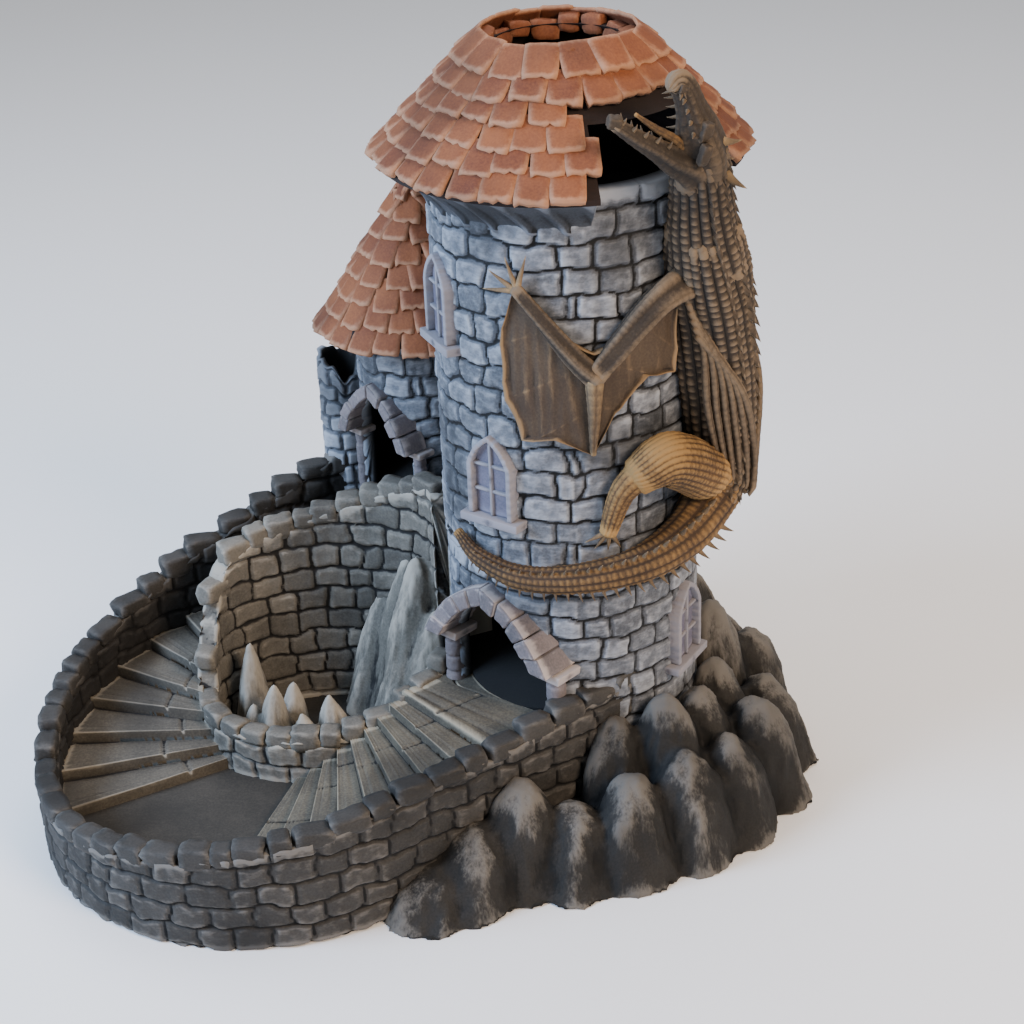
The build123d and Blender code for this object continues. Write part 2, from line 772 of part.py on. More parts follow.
limbs = []
for name, chain in (
    ("dragon_torso", torso_chain),
    ("dragon_tail", tail_chain),
    ("dragon_neck", neck_chain),
    ("dragon_skull", skull_chain),
    ("dragon_jaw", jaw_chain),
    ("dragon_arm_near", near_arm_chain),
    ("dragon_leg_near", near_leg_chain),
    ("dragon_arm_far", far_arm_chain),
    ("dragon_leg_far", far_leg_chain),
):
    joints = chain_points(chain)
    with BuildPart() as limb:
        for (start, start_radius), (end, end_radius) in zip(joints, joints[1:]):
            direction = end - start
            with BuildSketch(Plane(origin=start, z_dir=direction)):
                Circle(start_radius)
            with BuildSketch(Plane(origin=end, z_dir=direction)):
                Circle(end_radius)
            loft()
            with Locations(start, end):
                Sphere(min(start_radius, end_radius) if end is joints[-1][0] else end_radius)
        add(hide_keep_out.part, mode=Mode.SUBTRACT)
        for other in limbs:
            add(other, mode=Mode.SUBTRACT)
    largest = limb.part.solids().sort_by(SortBy.VOLUME)[-1]
    finish(largest, name)
    limbs.append(largest)

near_wing = [(-21, 178), (-27, 166), (-28, 150), (-21, 133), (-8, 134), (7, 129), (16, 141), (30, 150),
             (44, 148), (44, 170), (32, 171), (8, 153)]
wing_spread = 58.0
wing_radius = upper_radius + wing_gap
for name, side in (("dragon_wing_near", 1), ("dragon_wing_far", -1)):
    with BuildPart() as wing:
        centre_bearing = dragon_middle - side * wing_spread
        outline = [
            (dragon_middle - side * (dragon_middle - bearing), height)
            for bearing, height in near_wing
        ]
        corners = [
            (wing_radius * sin(radians(bearing - centre_bearing)), height - seam_height)
            for bearing, height in outline
        ]
        with BuildSketch(facing((0, 0), 0, centre_bearing, seam_height)):
            with BuildLine():
                Polyline(*corners, close=True)
            make_face()
        extrude(amount=2 * wing_radius)
        with BuildSketch(Plane.XY):
            Circle(wing_radius + wing_thickness)
            Circle(wing_radius, mode=Mode.SUBTRACT)
        extrude(amount=roof_rim_height, mode=Mode.INTERSECT)
        for other in limbs:
            add(other, mode=Mode.SUBTRACT)
    finish(wing.part.solids().sort_by(SortBy.VOLUME)[-1], name)

# ---- roofs ----------------------------------------------------------------------------------------------

with BuildPart() as main_roof:
    with BuildSketch(Plane.XZ):
        with BuildLine():
            Polyline(
                (eave_radius - roof_shell, drum_top),
                (eave_radius, drum_top),
                (eave_radius, drum_top + 1.5),
                (roof_rim_radius, roof_rim_height),
                (roof_rim_radius - roof_shell, roof_rim_height),
                (eave_radius - roof_shell - 3.0, drum_top + 3.0),
                (upper_bore, drum_top + 3.0),
                (upper_bore, drum_top),
                close=True,
            )
        make_face()
    revolve(axis=Axis.Z)
    with BuildSketch(Plane.XY.offset(drum_top - 1)):
        add(sector(2 * eave_radius, notch_from, notch_to))
    extrude(amount=notch_rise + 1, mode=Mode.SUBTRACT)
finish(main_roof.part, "main_roof")

with BuildPart() as small_roof:
    with BuildSketch(Plane.XZ):
        with BuildLine():
            Polyline(
                (0, small_apex),
                (small_eave_radius, small_top + 1.5),
                (small_eave_radius, small_top),
                (small_bore - fit_clearance, small_top),
                (small_bore - fit_clearance, small_top - spigot_height),
                (small_bore - fit_clearance - 2.5, small_top - spigot_height),
                (small_bore - fit_clearance - 2.5, small_top + 2.5),
                (small_eave_radius - small_shell - 4.0, small_top + 2.5),
                (0, small_apex - 1.6 * small_shell),
                close=True,
            )
        make_face()
    revolve(axis=Axis.Z)
small_roof_placed = Pos(*small_centre, 0) * small_roof.part
with BuildPart() as small_roof_trimmed:
    add(small_roof_placed)
    with BuildSketch(Plane.XY):
        Circle(upper_radius + 2 * body_clearance)
    extrude(amount=roof_rim_height, mode=Mode.SUBTRACT)
finish(small_roof_trimmed.part, "small_roof")
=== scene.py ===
from math import acos, atan2, cos, degrees, hypot, pi, radians, sin, sqrt, tan

import bmesh
import bpy
import numpy as np
from mathutils import Euler, Matrix, Vector, noise


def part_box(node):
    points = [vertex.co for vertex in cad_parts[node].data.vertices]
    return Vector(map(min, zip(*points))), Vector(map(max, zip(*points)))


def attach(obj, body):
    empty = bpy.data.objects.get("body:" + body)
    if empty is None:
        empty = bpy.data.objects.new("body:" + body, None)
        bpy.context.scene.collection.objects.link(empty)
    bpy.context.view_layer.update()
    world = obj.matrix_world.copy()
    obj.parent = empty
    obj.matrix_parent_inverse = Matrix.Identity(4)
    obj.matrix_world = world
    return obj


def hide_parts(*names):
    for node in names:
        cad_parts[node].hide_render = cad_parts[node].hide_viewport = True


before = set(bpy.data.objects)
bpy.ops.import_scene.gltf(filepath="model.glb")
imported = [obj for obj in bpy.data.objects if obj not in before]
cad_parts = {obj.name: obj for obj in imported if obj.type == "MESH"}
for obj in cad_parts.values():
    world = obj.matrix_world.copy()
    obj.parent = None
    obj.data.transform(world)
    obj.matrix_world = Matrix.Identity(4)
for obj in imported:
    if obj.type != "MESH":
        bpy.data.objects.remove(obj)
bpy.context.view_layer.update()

MM = 0.001
# Vector noise starts from the clock unless it is seeded, and each run has to give the same stones.
noise.seed_set(1)

# ---- the setting -----------------------------------------------------------------------
# A pale table top, a cool window at the left and a warmer, weaker lamp at the right.  The
# camera looks down on the front of the tower from a little above its roof.


def linear(colour):
    """Linear value of an sRGB hex colour, as a shader socket wants it."""
    channels = [int(colour[i : i + 2], 16) / 255 for i in (1, 3, 5)]
    return (*[c / 12.92 if c <= 0.04045 else ((c + 0.055) / 1.055) ** 2.4 for c in channels], 1.0)


def add(tree, kind, inputs=(), **settings):
    """Adds one node: its settings, then each input as a value or as a link from a socket."""
    node = tree.nodes.new(kind)
    for key, value in settings.items():
        setattr(node, key, value)
    for place, value in inputs.items() if isinstance(inputs, dict) else enumerate(inputs):
        if isinstance(value, bpy.types.NodeSocket):
            tree.links.new(value, node.inputs[place])
        elif value is not None:
            node.inputs[place].default_value = value
    return node


def mesh_piece(name, points, faces):
    """A new object from points in millimetres and faces."""
    mesh = bpy.data.meshes.new(name)
    mesh.from_pydata([tuple(c * MM for c in p) for p in points], [], faces)
    piece = bpy.data.objects.new(name, mesh)
    bpy.context.scene.collection.objects.link(piece)
    return piece


floor_half = 4000.0
table = mesh_piece(
    "table_top",
    [(-floor_half, -floor_half, 0), (floor_half, -floor_half, 0),
     (floor_half, floor_half, 0), (-floor_half, floor_half, 0)],
    [(0, 1, 2, 3)],
)
table_paint = bpy.data.materials.new("matt_white_table")
table_paint.use_nodes = True
table_shader = table_paint.node_tree.nodes["Principled BSDF"]
table_shader.inputs["Base Color"].default_value = linear("#f4f3f1")
table_shader.inputs["Roughness"].default_value = 0.9
table.data.materials.append(table_paint)

camera = bpy.data.objects.new("camera", bpy.data.cameras.new("camera"))
bpy.context.scene.collection.objects.link(camera)
camera.data.lens = 69.6
camera.data.sensor_width = 36.0
camera.data.clip_start = 0.02
camera.location = (-18.2 * MM, -540 * MM, 366 * MM)
camera_tilt = Euler((radians(90 - 27), 0, 0)).to_matrix()
camera_roll = Euler((0, 0, radians(-2.44))).to_matrix()
camera.rotation_euler = (camera_tilt @ camera_roll).to_euler()
bpy.context.scene.camera = camera

world = bpy.data.worlds.new("studio")
bpy.context.scene.world = world
world.use_nodes = True
world.node_tree.nodes["Background"].inputs["Color"].default_value = linear("#eef1f5")
world.node_tree.nodes["Background"].inputs["Strength"].default_value = 0.50
for name, place, size, watts, colour in (
    ("window_left", (-0.75, -0.25, 0.55), 0.40, 15.0, "#bcd8ff"),
    ("lamp_right", (0.55, -0.65, 0.70), 0.35, 11.0, "#ffe0c0"),
    ("sky_above", (-0.05, 0.25, 0.95), 0.70, 5.0, "#f3f5ff"),
):
    lamp = bpy.data.objects.new(name, bpy.data.lights.new(name, "AREA"))
    bpy.context.scene.collection.objects.link(lamp)
    lamp.data.size = size
    lamp.data.energy = watts
    lamp.data.color = linear(colour)[:3]
    lamp.location = place
    aim = Vector((-0.03, 0.0, 0.09)) - Vector(place)
    lamp.rotation_euler = aim.to_track_quat("-Z", "Y").to_euler()

# ---- the painter's kit: masks and the stone paint ---------------------------------------
# Every face of the casting is primed dark, washed darker in its grooves and dry-brushed on
# its raised edges.  A node tree measures how far each point stands out from the surface
# round it, and the paints read that.


def finish_tree(tree, geometry, material):
    """Ends a node tree: instances made real, and the paint put on."""
    real = add(tree, "GeometryNodeRealizeInstances", [geometry])
    painted = add(tree, "GeometryNodeSetMaterial", [real.outputs[0], None, material])
    add(tree, "NodeGroupOutput", [painted.outputs[0]])


def new_tree(name, sizes):
    """A geometry tree with a mesh, a paint and named sizes as its inputs."""
    tree = bpy.data.node_groups.new(name, "GeometryNodeTree")
    tree.interface.new_socket("Geometry", in_out="OUTPUT", socket_type="NodeSocketGeometry")
    tree.interface.new_socket("Geometry", in_out="INPUT", socket_type="NodeSocketGeometry")
    tree.interface.new_socket("Paint", in_out="INPUT", socket_type="NodeSocketMaterial")
    for size, value in sizes.items():
        kind = "NodeSocketInt" if isinstance(value, int) else "NodeSocketFloat"
        tree.interface.new_socket(size, in_out="INPUT", socket_type=kind).default_value = value
    return tree, add(tree, "NodeGroupInput").outputs


def run_tree(piece, tree, sizes):
    """Runs a node tree on a piece and keeps the result as its plain mesh."""
    modifier = piece.modifiers.new(tree.name, "NODES")
    modifier.node_group = tree
    for socket in tree.interface.items_tree:
        if socket.in_out == "INPUT" and socket.name in sizes:
            modifier[socket.identifier] = sizes[socket.name]
    evaluated = piece.evaluated_get(bpy.context.evaluated_depsgraph_get())
    mesh = bpy.data.meshes.new_from_object(evaluated)
    piece.modifiers.remove(modifier)
    piece.data = mesh
    return piece


masks, given = new_tree("measure_relief", {"Fine passes": 4, "Broad passes": 40, "Gain": 1.0})
position = add(masks, "GeometryNodeInputPosition").outputs[0]
normal = add(masks, "GeometryNodeInputNormal").outputs[0]
geometry = given["Geometry"]
for attribute, passes in (("relief", given["Fine passes"]), ("swell", given["Broad passes"])):
    smooth = add(masks, "GeometryNodeBlurAttribute", data_type="FLOAT_VECTOR")
    for socket in smooth.inputs:
        if socket.name == "Iterations":
            masks.links.new(passes, socket)
        if socket.name == "Value" and socket.type == "VECTOR":
            masks.links.new(position, socket)
    smoothed = [socket for socket in smooth.outputs if socket.enabled][0]
    offset = add(masks, "ShaderNodeVectorMath", [position, smoothed], operation="SUBTRACT")
    stands_out = add(masks, "ShaderNodeVectorMath", [offset.outputs[0], normal], operation="DOT_PRODUCT")
    gained = add(masks, "ShaderNodeMath", [stands_out.outputs["Value"], given["Gain"]], operation="MULTIPLY")
    in_mm = add(masks, "ShaderNodeMath", [gained.outputs[0], 1 / MM], operation="MULTIPLY")
    store = add(masks, "GeometryNodeStoreNamedAttribute", {"Geometry": geometry, "Name": attribute},
                data_type="FLOAT", domain="POINT")
    masks.links.new(in_mm.outputs[0], store.inputs["Value"])
    geometry = store.outputs[0]
finish_tree(masks, geometry, given["Paint"])


def brush_paint(name, wash, body, brush, light, grain_mm=(1.2, 1.2, 1.2), strength=1.0,
                edge=0.42, cover=0.6, pools=0.45):
    """Dry-brushed acrylic: four paints from the grooves up, laid by relief, with brush marks."""
    paint = bpy.data.materials.new(name)
    paint.use_nodes = True
    tree = paint.node_tree
    shader = tree.nodes["Principled BSDF"]
    place = add(tree, "ShaderNodeTexCoord").outputs["Object"]
    relief = add(tree, "ShaderNodeAttribute", attribute_name="relief").outputs["Fac"]
    swell = add(tree, "ShaderNodeAttribute", attribute_name="swell").outputs["Fac"]
    stone = add(tree, "ShaderNodeAttribute", attribute_name="stone").outputs["Fac"]
    hidden = add(tree, "ShaderNodeAttribute", attribute_name="hidden").outputs["Fac"]
    marks = add(tree, "ShaderNodeMapping", {"Vector": place, "Scale": [1 / (g * MM) for g in grain_mm]})
    strokes = add(tree, "ShaderNodeTexNoise", {"Vector": marks.outputs[0], "Scale": 1.0, "Detail": 4.0,
                                               "Roughness": 0.65})
    blotch = add(tree, "ShaderNodeTexNoise", {"Vector": place, "Scale": 1 / (14 * MM), "Detail": 3.0})
    # how far out this point stands, roughened by the brush
    stroke = add(tree, "ShaderNodeMath", [strokes.outputs["Fac"], 0.5], operation="SUBTRACT")
    fine_part = add(tree, "ShaderNodeMath", [relief, 0.6], operation="MULTIPLY")
    rough_relief = add(tree, "ShaderNodeMath", [stroke.outputs[0], 0.7 * strength, fine_part.outputs[0]],
                       operation="MULTIPLY_ADD")
    lifted = add(tree, "ShaderNodeMath", [swell, 0.9, rough_relief.outputs[0]], operation="MULTIPLY_ADD")
    groove = add(tree, "ShaderNodeMapRange", [lifted.outputs[0], -0.75, -0.12, 0.0, 1.0],
                 interpolation_type="SMOOTHSTEP")
    ridge = add(tree, "ShaderNodeMapRange", [lifted.outputs[0], edge - 0.20, edge + 0.60, 0.0, cover],
                interpolation_type="SMOOTHSTEP")
    speckle = add(tree, "ShaderNodeTexNoise", {"Vector": place, "Scale": 1 / (0.7 * MM), "Detail": 2.0})
    tone = add(tree, "ShaderNodeMath", [stone, 0.45, blotch.outputs["Fac"]], operation="MULTIPLY_ADD")
    mottled = add(tree, "ShaderNodeMath", [speckle.outputs["Fac"], 0.9, tone.outputs[0]],
                  operation="MULTIPLY_ADD")
    tone_range = add(tree, "ShaderNodeMapRange", [mottled.outputs[0], 0.75, 1.6, 0.0, 1.0])
    face = add(tree, "ShaderNodeMix", {"Factor": tone_range.outputs[0]}, data_type="RGBA")
    face.inputs[6].default_value = linear(body)
    face.inputs[7].default_value = linear(brush)
    washed = add(tree, "ShaderNodeMix", {"Factor": groove.outputs[0]}, data_type="RGBA")
    washed.inputs[6].default_value = linear(wash)
    tree.links.new(face.outputs[2], washed.inputs[7])
    brushed = add(tree, "ShaderNodeMix", {"Factor": ridge.outputs[0]}, data_type="RGBA")
    tree.links.new(washed.outputs[2], brushed.inputs[6])
    brushed.inputs[7].default_value = linear(light)
    # the dark wash was left to pool in broad patches
    pool = add(tree, "ShaderNodeTexNoise", {"Vector": place, "Scale": 1 / (38 * MM), "Detail": 2.0})
    pooled = add(tree, "ShaderNodeMapRange", [pool.outputs["Fac"], 0.50, 0.66, 0.0, pools],
                 interpolation_type="SMOOTHSTEP")
    stained = add(tree, "ShaderNodeMix", {"Factor": pooled.outputs[0]}, data_type="RGBA")
    tree.links.new(brushed.outputs[2], stained.inputs[6])
    stained.inputs[7].default_value = linear(wash)
    # painted shade: the marked points, inside the towers and on the court face of the curtain wall, are mixed
    # toward near black
    inside = add(tree, "ShaderNodeMix", {"Factor": hidden}, data_type="RGBA")
    tree.links.new(stained.outputs[2], inside.inputs[6])
    inside.inputs[7].default_value = linear("#0b0b0c")
    tree.links.new(inside.outputs[2], shader.inputs["Base Color"])
    # primed resin: matt, with the faint tooth of dried paint
    shader.inputs["Roughness"].default_value = 0.78
    shader.inputs["Specular IOR Level"].default_value = 0.35
    tooth = add(tree, "ShaderNodeTexNoise", {"Vector": place, "Scale": 1 / (0.45 * MM), "Detail": 3.0})
    mixed = add(tree, "ShaderNodeMath", [strokes.outputs["Fac"], 1.5, tooth.outputs["Fac"]],
                operation="MULTIPLY_ADD")
    bump = add(tree, "ShaderNodeBump", {"Height": mixed.outputs[0], "Strength": 0.35, "Distance": 0.12 * MM})
    tree.links.new(bump.outputs[0], shader.inputs["Normal"])
    return paint


def fasten(piece, body, slot, *nodes):
    """Puts a finished piece on its body and hides the plain nodes it stands for; its slot is not used."""
    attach(piece, body)
    if nodes:
        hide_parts(*nodes)
    for face in piece.data.polygons:
        face.use_smooth = True


# Blue-grey stone: near-black wash, grey body and pale dry-brushed edges.
tower_paint = brush_paint("grey_stone_drybrushed", "#0d0e10", "#43474d", "#6b7078", "#a7acb3",
                          (2.2, 2.2, 0.9),
                          1.0, 0.30, 0.75, 0.6)
# Darker, warmer stone for the walls of the court.
court_paint = brush_paint("dark_stone_drybrushed", "#080808", "#262523", "#3f3d3a", "#7d7973",
                          (2.0, 2.0, 0.8),
                          1.0, 0.42, 0.6, 0.55)

# ---- main tower, lower drum --------------------------------------------------------------
# A thick round wall, cast with its courses of rough stone carved in.  The stones are long
# and low, jointed at random, and the joints are a millimetre or so wide and deep.

carving, given = new_tree("carve_courses", {"Stone length": 15.0, "Course height": 9.0, "Joint width": 1.5,
                                            "Joint depth": 1.3, "Stone roughness": 0.5, "Seed": 0.0})
wall_place = add(carving, "GeometryNodeInputNamedAttribute", {"Name": "wall_place"}, data_type="FLOAT_VECTOR")
position = add(carving, "GeometryNodeInputPosition").outputs[0]
wobble = add(carving, "ShaderNodeTexNoise", {"Vector": position, "Scale": 1 / (11 * MM), "Detail": 2.0})
centred = add(carving, "ShaderNodeVectorMath", [wobble.outputs["Color"], (0.5, 0.5, 0.5)],
              operation="SUBTRACT")
swayed = add(carving, "ShaderNodeVectorMath", [centred.outputs[0], (6.5, 6.5, 0.0)], operation="MULTIPLY")
warped = add(carving, "ShaderNodeVectorMath", [wall_place.outputs[0], swayed.outputs[0]], operation="ADD")
along, up, _ = add(carving, "ShaderNodeSeparateXYZ", [warped.outputs[0]]).outputs
_, _, carved = add(carving, "ShaderNodeSeparateXYZ", [wall_place.outputs[0]]).outputs
course = add(carving, "ShaderNodeMath", [up, given["Course height"]], operation="DIVIDE")
row = add(carving, "ShaderNodeMath", [course.outputs[0]], operation="FLOOR")
share = add(carving, "ShaderNodeMath", [course.outputs[0]], operation="FRACT")
rest = add(carving, "ShaderNodeMath", [1.0, share.outputs[0]], operation="SUBTRACT")
nearer = add(carving, "ShaderNodeMath", [share.outputs[0], rest.outputs[0]], operation="MINIMUM")
to_bed = add(carving, "ShaderNodeMath", [nearer.outputs[0], given["Course height"]], operation="MULTIPLY")
stones = add(carving, "ShaderNodeMath", [along, given["Stone length"]], operation="DIVIDE")
shifted = add(carving, "ShaderNodeMath", [row.outputs[0], 17.31, stones.outputs[0]], operation="MULTIPLY_ADD")
seeded = add(carving, "ShaderNodeMath", [shifted.outputs[0], given["Seed"]], operation="ADD")
ends = add(carving, "ShaderNodeTexVoronoi", {"W": seeded.outputs[0], "Scale": 1.0, "Randomness": 0.8},
           voronoi_dimensions="1D", feature="DISTANCE_TO_EDGE")
which = add(carving, "ShaderNodeTexVoronoi", {"W": seeded.outputs[0], "Scale": 1.0, "Randomness": 0.8},
            voronoi_dimensions="1D", feature="F1")
stone_value = add(carving, "ShaderNodeSeparateXYZ", [which.outputs["Color"]]).outputs[0]
to_end = add(carving, "ShaderNodeMath", [ends.outputs["Distance"], given["Stone length"]],
             operation="MULTIPLY")
to_joint = add(carving, "ShaderNodeMath", [to_end.outputs[0], to_bed.outputs[0], 1.6], operation="SMOOTH_MIN")
plateau = add(carving, "ShaderNodeMapRange", [to_joint.outputs[0], 0.1, given["Joint width"], 0.0, 1.0],
              interpolation_type="SMOOTHSTEP")
pits = add(carving, "ShaderNodeTexNoise", {"Vector": position, "Scale": 1 / (3.2 * MM), "Detail": 3.0})
rough = add(carving, "ShaderNodeMath", [pits.outputs["Fac"], 0.62], operation="SUBTRACT")
rough_mm = add(carving, "ShaderNodeMath", [rough.outputs[0], given["Stone roughness"]], operation="MULTIPLY")
stand = add(carving, "ShaderNodeMath", [stone_value, 0.5, rough_mm.outputs[0]], operation="MULTIPLY_ADD")
raised = add(carving, "ShaderNodeMath", [stand.outputs[0], plateau.outputs[0]], operation="MULTIPLY")
sunk = add(carving, "ShaderNodeMath", [plateau.outputs[0], 1.0], operation="SUBTRACT")
total = add(carving, "ShaderNodeMath", [sunk.outputs[0], given["Joint depth"], raised.outputs[0]],
            operation="MULTIPLY_ADD")
only_carved = add(carving, "ShaderNodeMath", [total.outputs[0], carved], operation="MULTIPLY")
metres = add(carving, "ShaderNodeMath", [only_carved.outputs[0], MM], operation="MULTIPLY")
normal = add(carving, "GeometryNodeInputNormal").outputs[0]
push = add(carving, "ShaderNodeVectorMath", {0: normal, "Scale": metres.outputs[0]}, operation="SCALE")
moved = add(carving, "GeometryNodeSetPosition", {"Geometry": given["Geometry"], "Offset": push.outputs[0]})
tinted = add(carving, "GeometryNodeStoreNamedAttribute", {"Geometry": moved.outputs[0], "Name": "stone"},
             data_type="FLOAT", domain="POINT")
carving.links.new(stone_value, tinted.inputs["Value"])
finish_tree(carving, tinted.outputs[0], given["Paint"])


def set_attribute(piece, name, kind, values):
    """Stores one value for each point of a piece."""
    attribute = piece.data.attributes.new(name, kind, "POINT")
    field = "vector" if kind == "FLOAT_VECTOR" else "value"
    attribute.data.foreach_set(field, np.asarray(values, np.float32).ravel())


def turned_piece(name, centre, profile, count):
    """A closed body of revolution.  Each profile point has a radius, a height and how much it
    is carved; the profile runs up the outside and down the inside."""
    points = []
    places = []
    hidden = []
    length = 2 * pi * max(radius for radius, _, _ in profile)
    for radius, height, carved in profile:
        for i in range(count):
            angle = 2 * pi * i / count
            points.append((centre[0] + radius * sin(angle), centre[1] - radius * cos(angle), height))
            places.append((length * i / count, height, max(carved, 0.0)))
            # a negative carve marks the inside, which the paint turns near black: painted shade
            hidden.append(1.0 if carved < 0 else 0.0)
    faces = []
    rows = len(profile)
    for row in range(rows):
        for i in range(count):
            j = (i + 1) % count
            below = row * count
            above = (row + 1) % rows * count
            faces.append((below + i, below + j, above + j, above + i))
    piece = mesh_piece(name, points, faces)
    set_attribute(piece, "wall_place", "FLOAT_VECTOR", places)
    set_attribute(piece, "hidden", "FLOAT", hidden)
    recalculate(piece)
    return piece


def steps_between(start, end, step):
    """Evenly spaced values from start to end, about a step apart."""
    return list(np.linspace(start, end, max(2, round(abs(end - start) / step) + 1)))


def drum_profile(radius, bore, bottom, top, step=0.75):
    """Outside carved, inside plain and marked for near-black painted shade: the wall of a round tower."""
    outside = [(radius, z, 1.0) for z in steps_between(bottom, top, step)]
    inside = [(bore, z, -1.0) for z in steps_between(top, bottom, 6.0)]
    return outside + inside


def arch_outline(width, spring, apex, foot=0.0, count=10):
    """Pointed arch on an upright plane: across and up, from its right foot round to its left."""
    half = width / 2
    rise = apex - spring
    bulge = 0.10 * hypot(half, rise)
    side = []
    for i in range(count + 1):
        t = i / count
        bend = 4 * bulge * t * (1 - t)
        side.append((half * (1 - t) + bend * rise / hypot(half, rise),
                     spring + rise * t + bend * half / hypot(half, rise)))
    return [(half, foot)] + side + [(-x, z) for x, z in side[-2::-1]] + [(-half, foot)]


def on_wall(centre, radius, bearing, across, height):
    """Point on an upright plane that faces a bearing, a radius out from a tower's axis."""
    angle = radians(bearing)
    return (centre[0] + radius * sin(angle) + across * cos(angle),
            centre[1] - radius * cos(angle) + across * sin(angle), height)


def recalculate(piece):
    """Makes every face of a closed piece point outwards."""
    working = bmesh.new()
    working.from_mesh(piece.data)
    bmesh.ops.recalc_face_normals(working, faces=working.faces)
    working.to_mesh(piece.data)
    working.free()


def cut_opening(piece, centre, bearing, outline, near, far):
    """Cuts an opening through a wall: a prism with this outline, from near to far out."""
    count = len(outline)
    points = [on_wall(centre, r, bearing, x, z) for r in (near, far) for x, z in outline]
    faces = [tuple(range(count)), tuple(range(2 * count - 1, count - 1, -1))]
    faces += [(i, i + count, (i + 1) % count + count, (i + 1) % count) for i in range(count)]
    cutter = mesh_piece("cutter", points, faces)
    recalculate(cutter)
    boolean = piece.modifiers.new("opening", "BOOLEAN")
    boolean.operation = "DIFFERENCE"
    boolean.object = cutter
    boolean.solver = "EXACT"
    evaluated = piece.evaluated_get(bpy.context.evaluated_depsgraph_get())
    mesh = bpy.data.meshes.new_from_object(evaluated)
    piece.modifiers.remove(boolean)
    piece.data = mesh
    bpy.data.objects.remove(cutter)


def darken_inside(piece, centre, radius):
    """Marks everything behind a round wall's face, so that the paint leaves it near black: painted shade for
    the dark inside of the tower.
    """
    hidden = [1.0 if hypot(v.co.x / MM - centre[0], v.co.y / MM - centre[1]) < radius - 1.6 else 0.0
              for v in piece.data.vertices]
    piece.data.attributes.remove(piece.data.attributes["hidden"])
    set_attribute(piece, "hidden", "FLOAT", hidden)


def box_mm(node):
    """A CAD node's lowest and highest corners, in millimetres."""
    low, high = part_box(node)
    return [c / MM for c in low], [c / MM for c in high]


drum_low, drum_high = box_mm("lower_drum")
lower_radius = drum_high[0]
drum_wall = 4.0
seam_height = box_mm("upper_drum")[0][2]
main_axis = (0.0, 0.0)
door_bearing = -43.5
door_width = 36.0
door_sill = 39.0
door_spring = 58.5
door_apex = 75.0

lower_drum = turned_piece("lower_drum_stones", main_axis,
                          drum_profile(lower_radius, lower_radius - drum_wall, drum_low[2], seam_height), 330)
run_tree(lower_drum, carving, {"Paint": tower_paint, "Stone length": 11.5, "Course height": 7.4, "Seed": 3.0,
                                 "Joint width": 0.95, "Joint depth": 1.0, "Stone roughness": 1.1})
cut_opening(lower_drum, main_axis, door_bearing,
            arch_outline(door_width, door_spring, door_apex, door_sill - 1),
            20.0, 60.0)
darken_inside(lower_drum, main_axis, lower_radius)
run_tree(lower_drum, masks, {"Paint": tower_paint})
fasten(lower_drum, "base", "tower_stone", "lower_drum")

# ---- court: floor, curtain wall and ring walls --------------------------------------------
# The curtain wall is one wall from the main tower right round the tray to the ruined turret,
# and the ring wall stands round the pit.  Both are carved in courses on both faces, and each
# carries a row of separate rough coping stones, set along its falling top.

curtain_low = box_mm("curtain_wall")[0]
court_radius = 72.0
court_centre = (curtain_low[0] + court_radius, curtain_low[1] + court_radius)
curtain_thickness = 6.5
slab_height = box_mm("court_slab")[1][2]
turret_low, turret_high = box_mm("ruined_turret")
turret_centre = ((turret_low[0] + turret_high[0]) / 2, (turret_low[1] + turret_high[1]) / 2)
join_bearing = 31.6
# share of the wall's run, and height of its top there
curtain_tops = [(0.0, 53.0), (0.13, 45.0), (0.24, 41.0), (0.39, 33.0), (0.50, 27.5), (0.60, 27.0),
                (0.66, 35.0), (0.75, 45.0), (0.82, 56.0), (0.90, 71.0), (1.0, 90.0)]


def at(centre, radius, bearing):
    """Point at a bearing round a centre: 0 faces the front, 90 faces the right."""
    return (centre[0] + radius * sin(radians(bearing)), centre[1] - radius * cos(radians(bearing)))


def tangent_bearing(point, side):
    """Bearing from the court's centre where a straight run from a point meets its circle."""
    reach = hypot(point[0] - court_centre[0], point[1] - court_centre[1])
    toward = degrees(atan2(point[0] - court_centre[0], court_centre[1] - point[1]))
    return toward + side * degrees(acos(court_radius / reach))


def curtain_line(step):
    """Points and outward directions along the curtain wall's outer face, about a step apart."""
    start = at(main_axis, lower_radius - 1.0, join_bearing)
    first = tangent_bearing(start, -1)
    last = tangent_bearing(turret_centre, 1) - 360
    corner_in = at(court_centre, court_radius, first)
    corner_out = at(court_centre, court_radius, last)
    line = []
    for a, b, bearing in ((start, corner_in, first), (corner_out, turret_centre, last)):
        count = round(hypot(b[0] - a[0], b[1] - a[1]) / step)
        outward = at((0, 0), 1.0, bearing)
        line.append([((a[0] + (b[0] - a[0]) * i / count, a[1] + (b[1] - a[1]) * i / count), outward)
                     for i in range(count + 1)])
    arc = [(at(court_centre, court_radius, bearing), at((0, 0), 1.0, bearing))
           for bearing in steps_between(first, last, degrees(step / court_radius))]
    return line[0] + arc[1:-1] + line[1]


ring_low = box_mm("ring_wall_tall")[0]
ring_half_length = 42.5
ring_half_width = 29.0
ring_centre = (ring_low[0] + ring_half_length, 5.5)
ring_thickness = 6.0
ring_start_turn = 75.0
ring_break_turn = -88.0
ring_end_turn = -258.0
# turn round the oval from its front, and height of the wall's top there
ring_tops = [(-248.0, 96.0), (-215.0, 90.0), (-180.0, 80.5), (-150.0, 75.5), (-122.0, 69.0),
             (-105.0, 50.0), (-90.0, 33.0), (-75.0, 28.0), (-30.0, 27.0), (0.0, 28.0),
             (20.0, 31.0), (64.0, 44.0)]


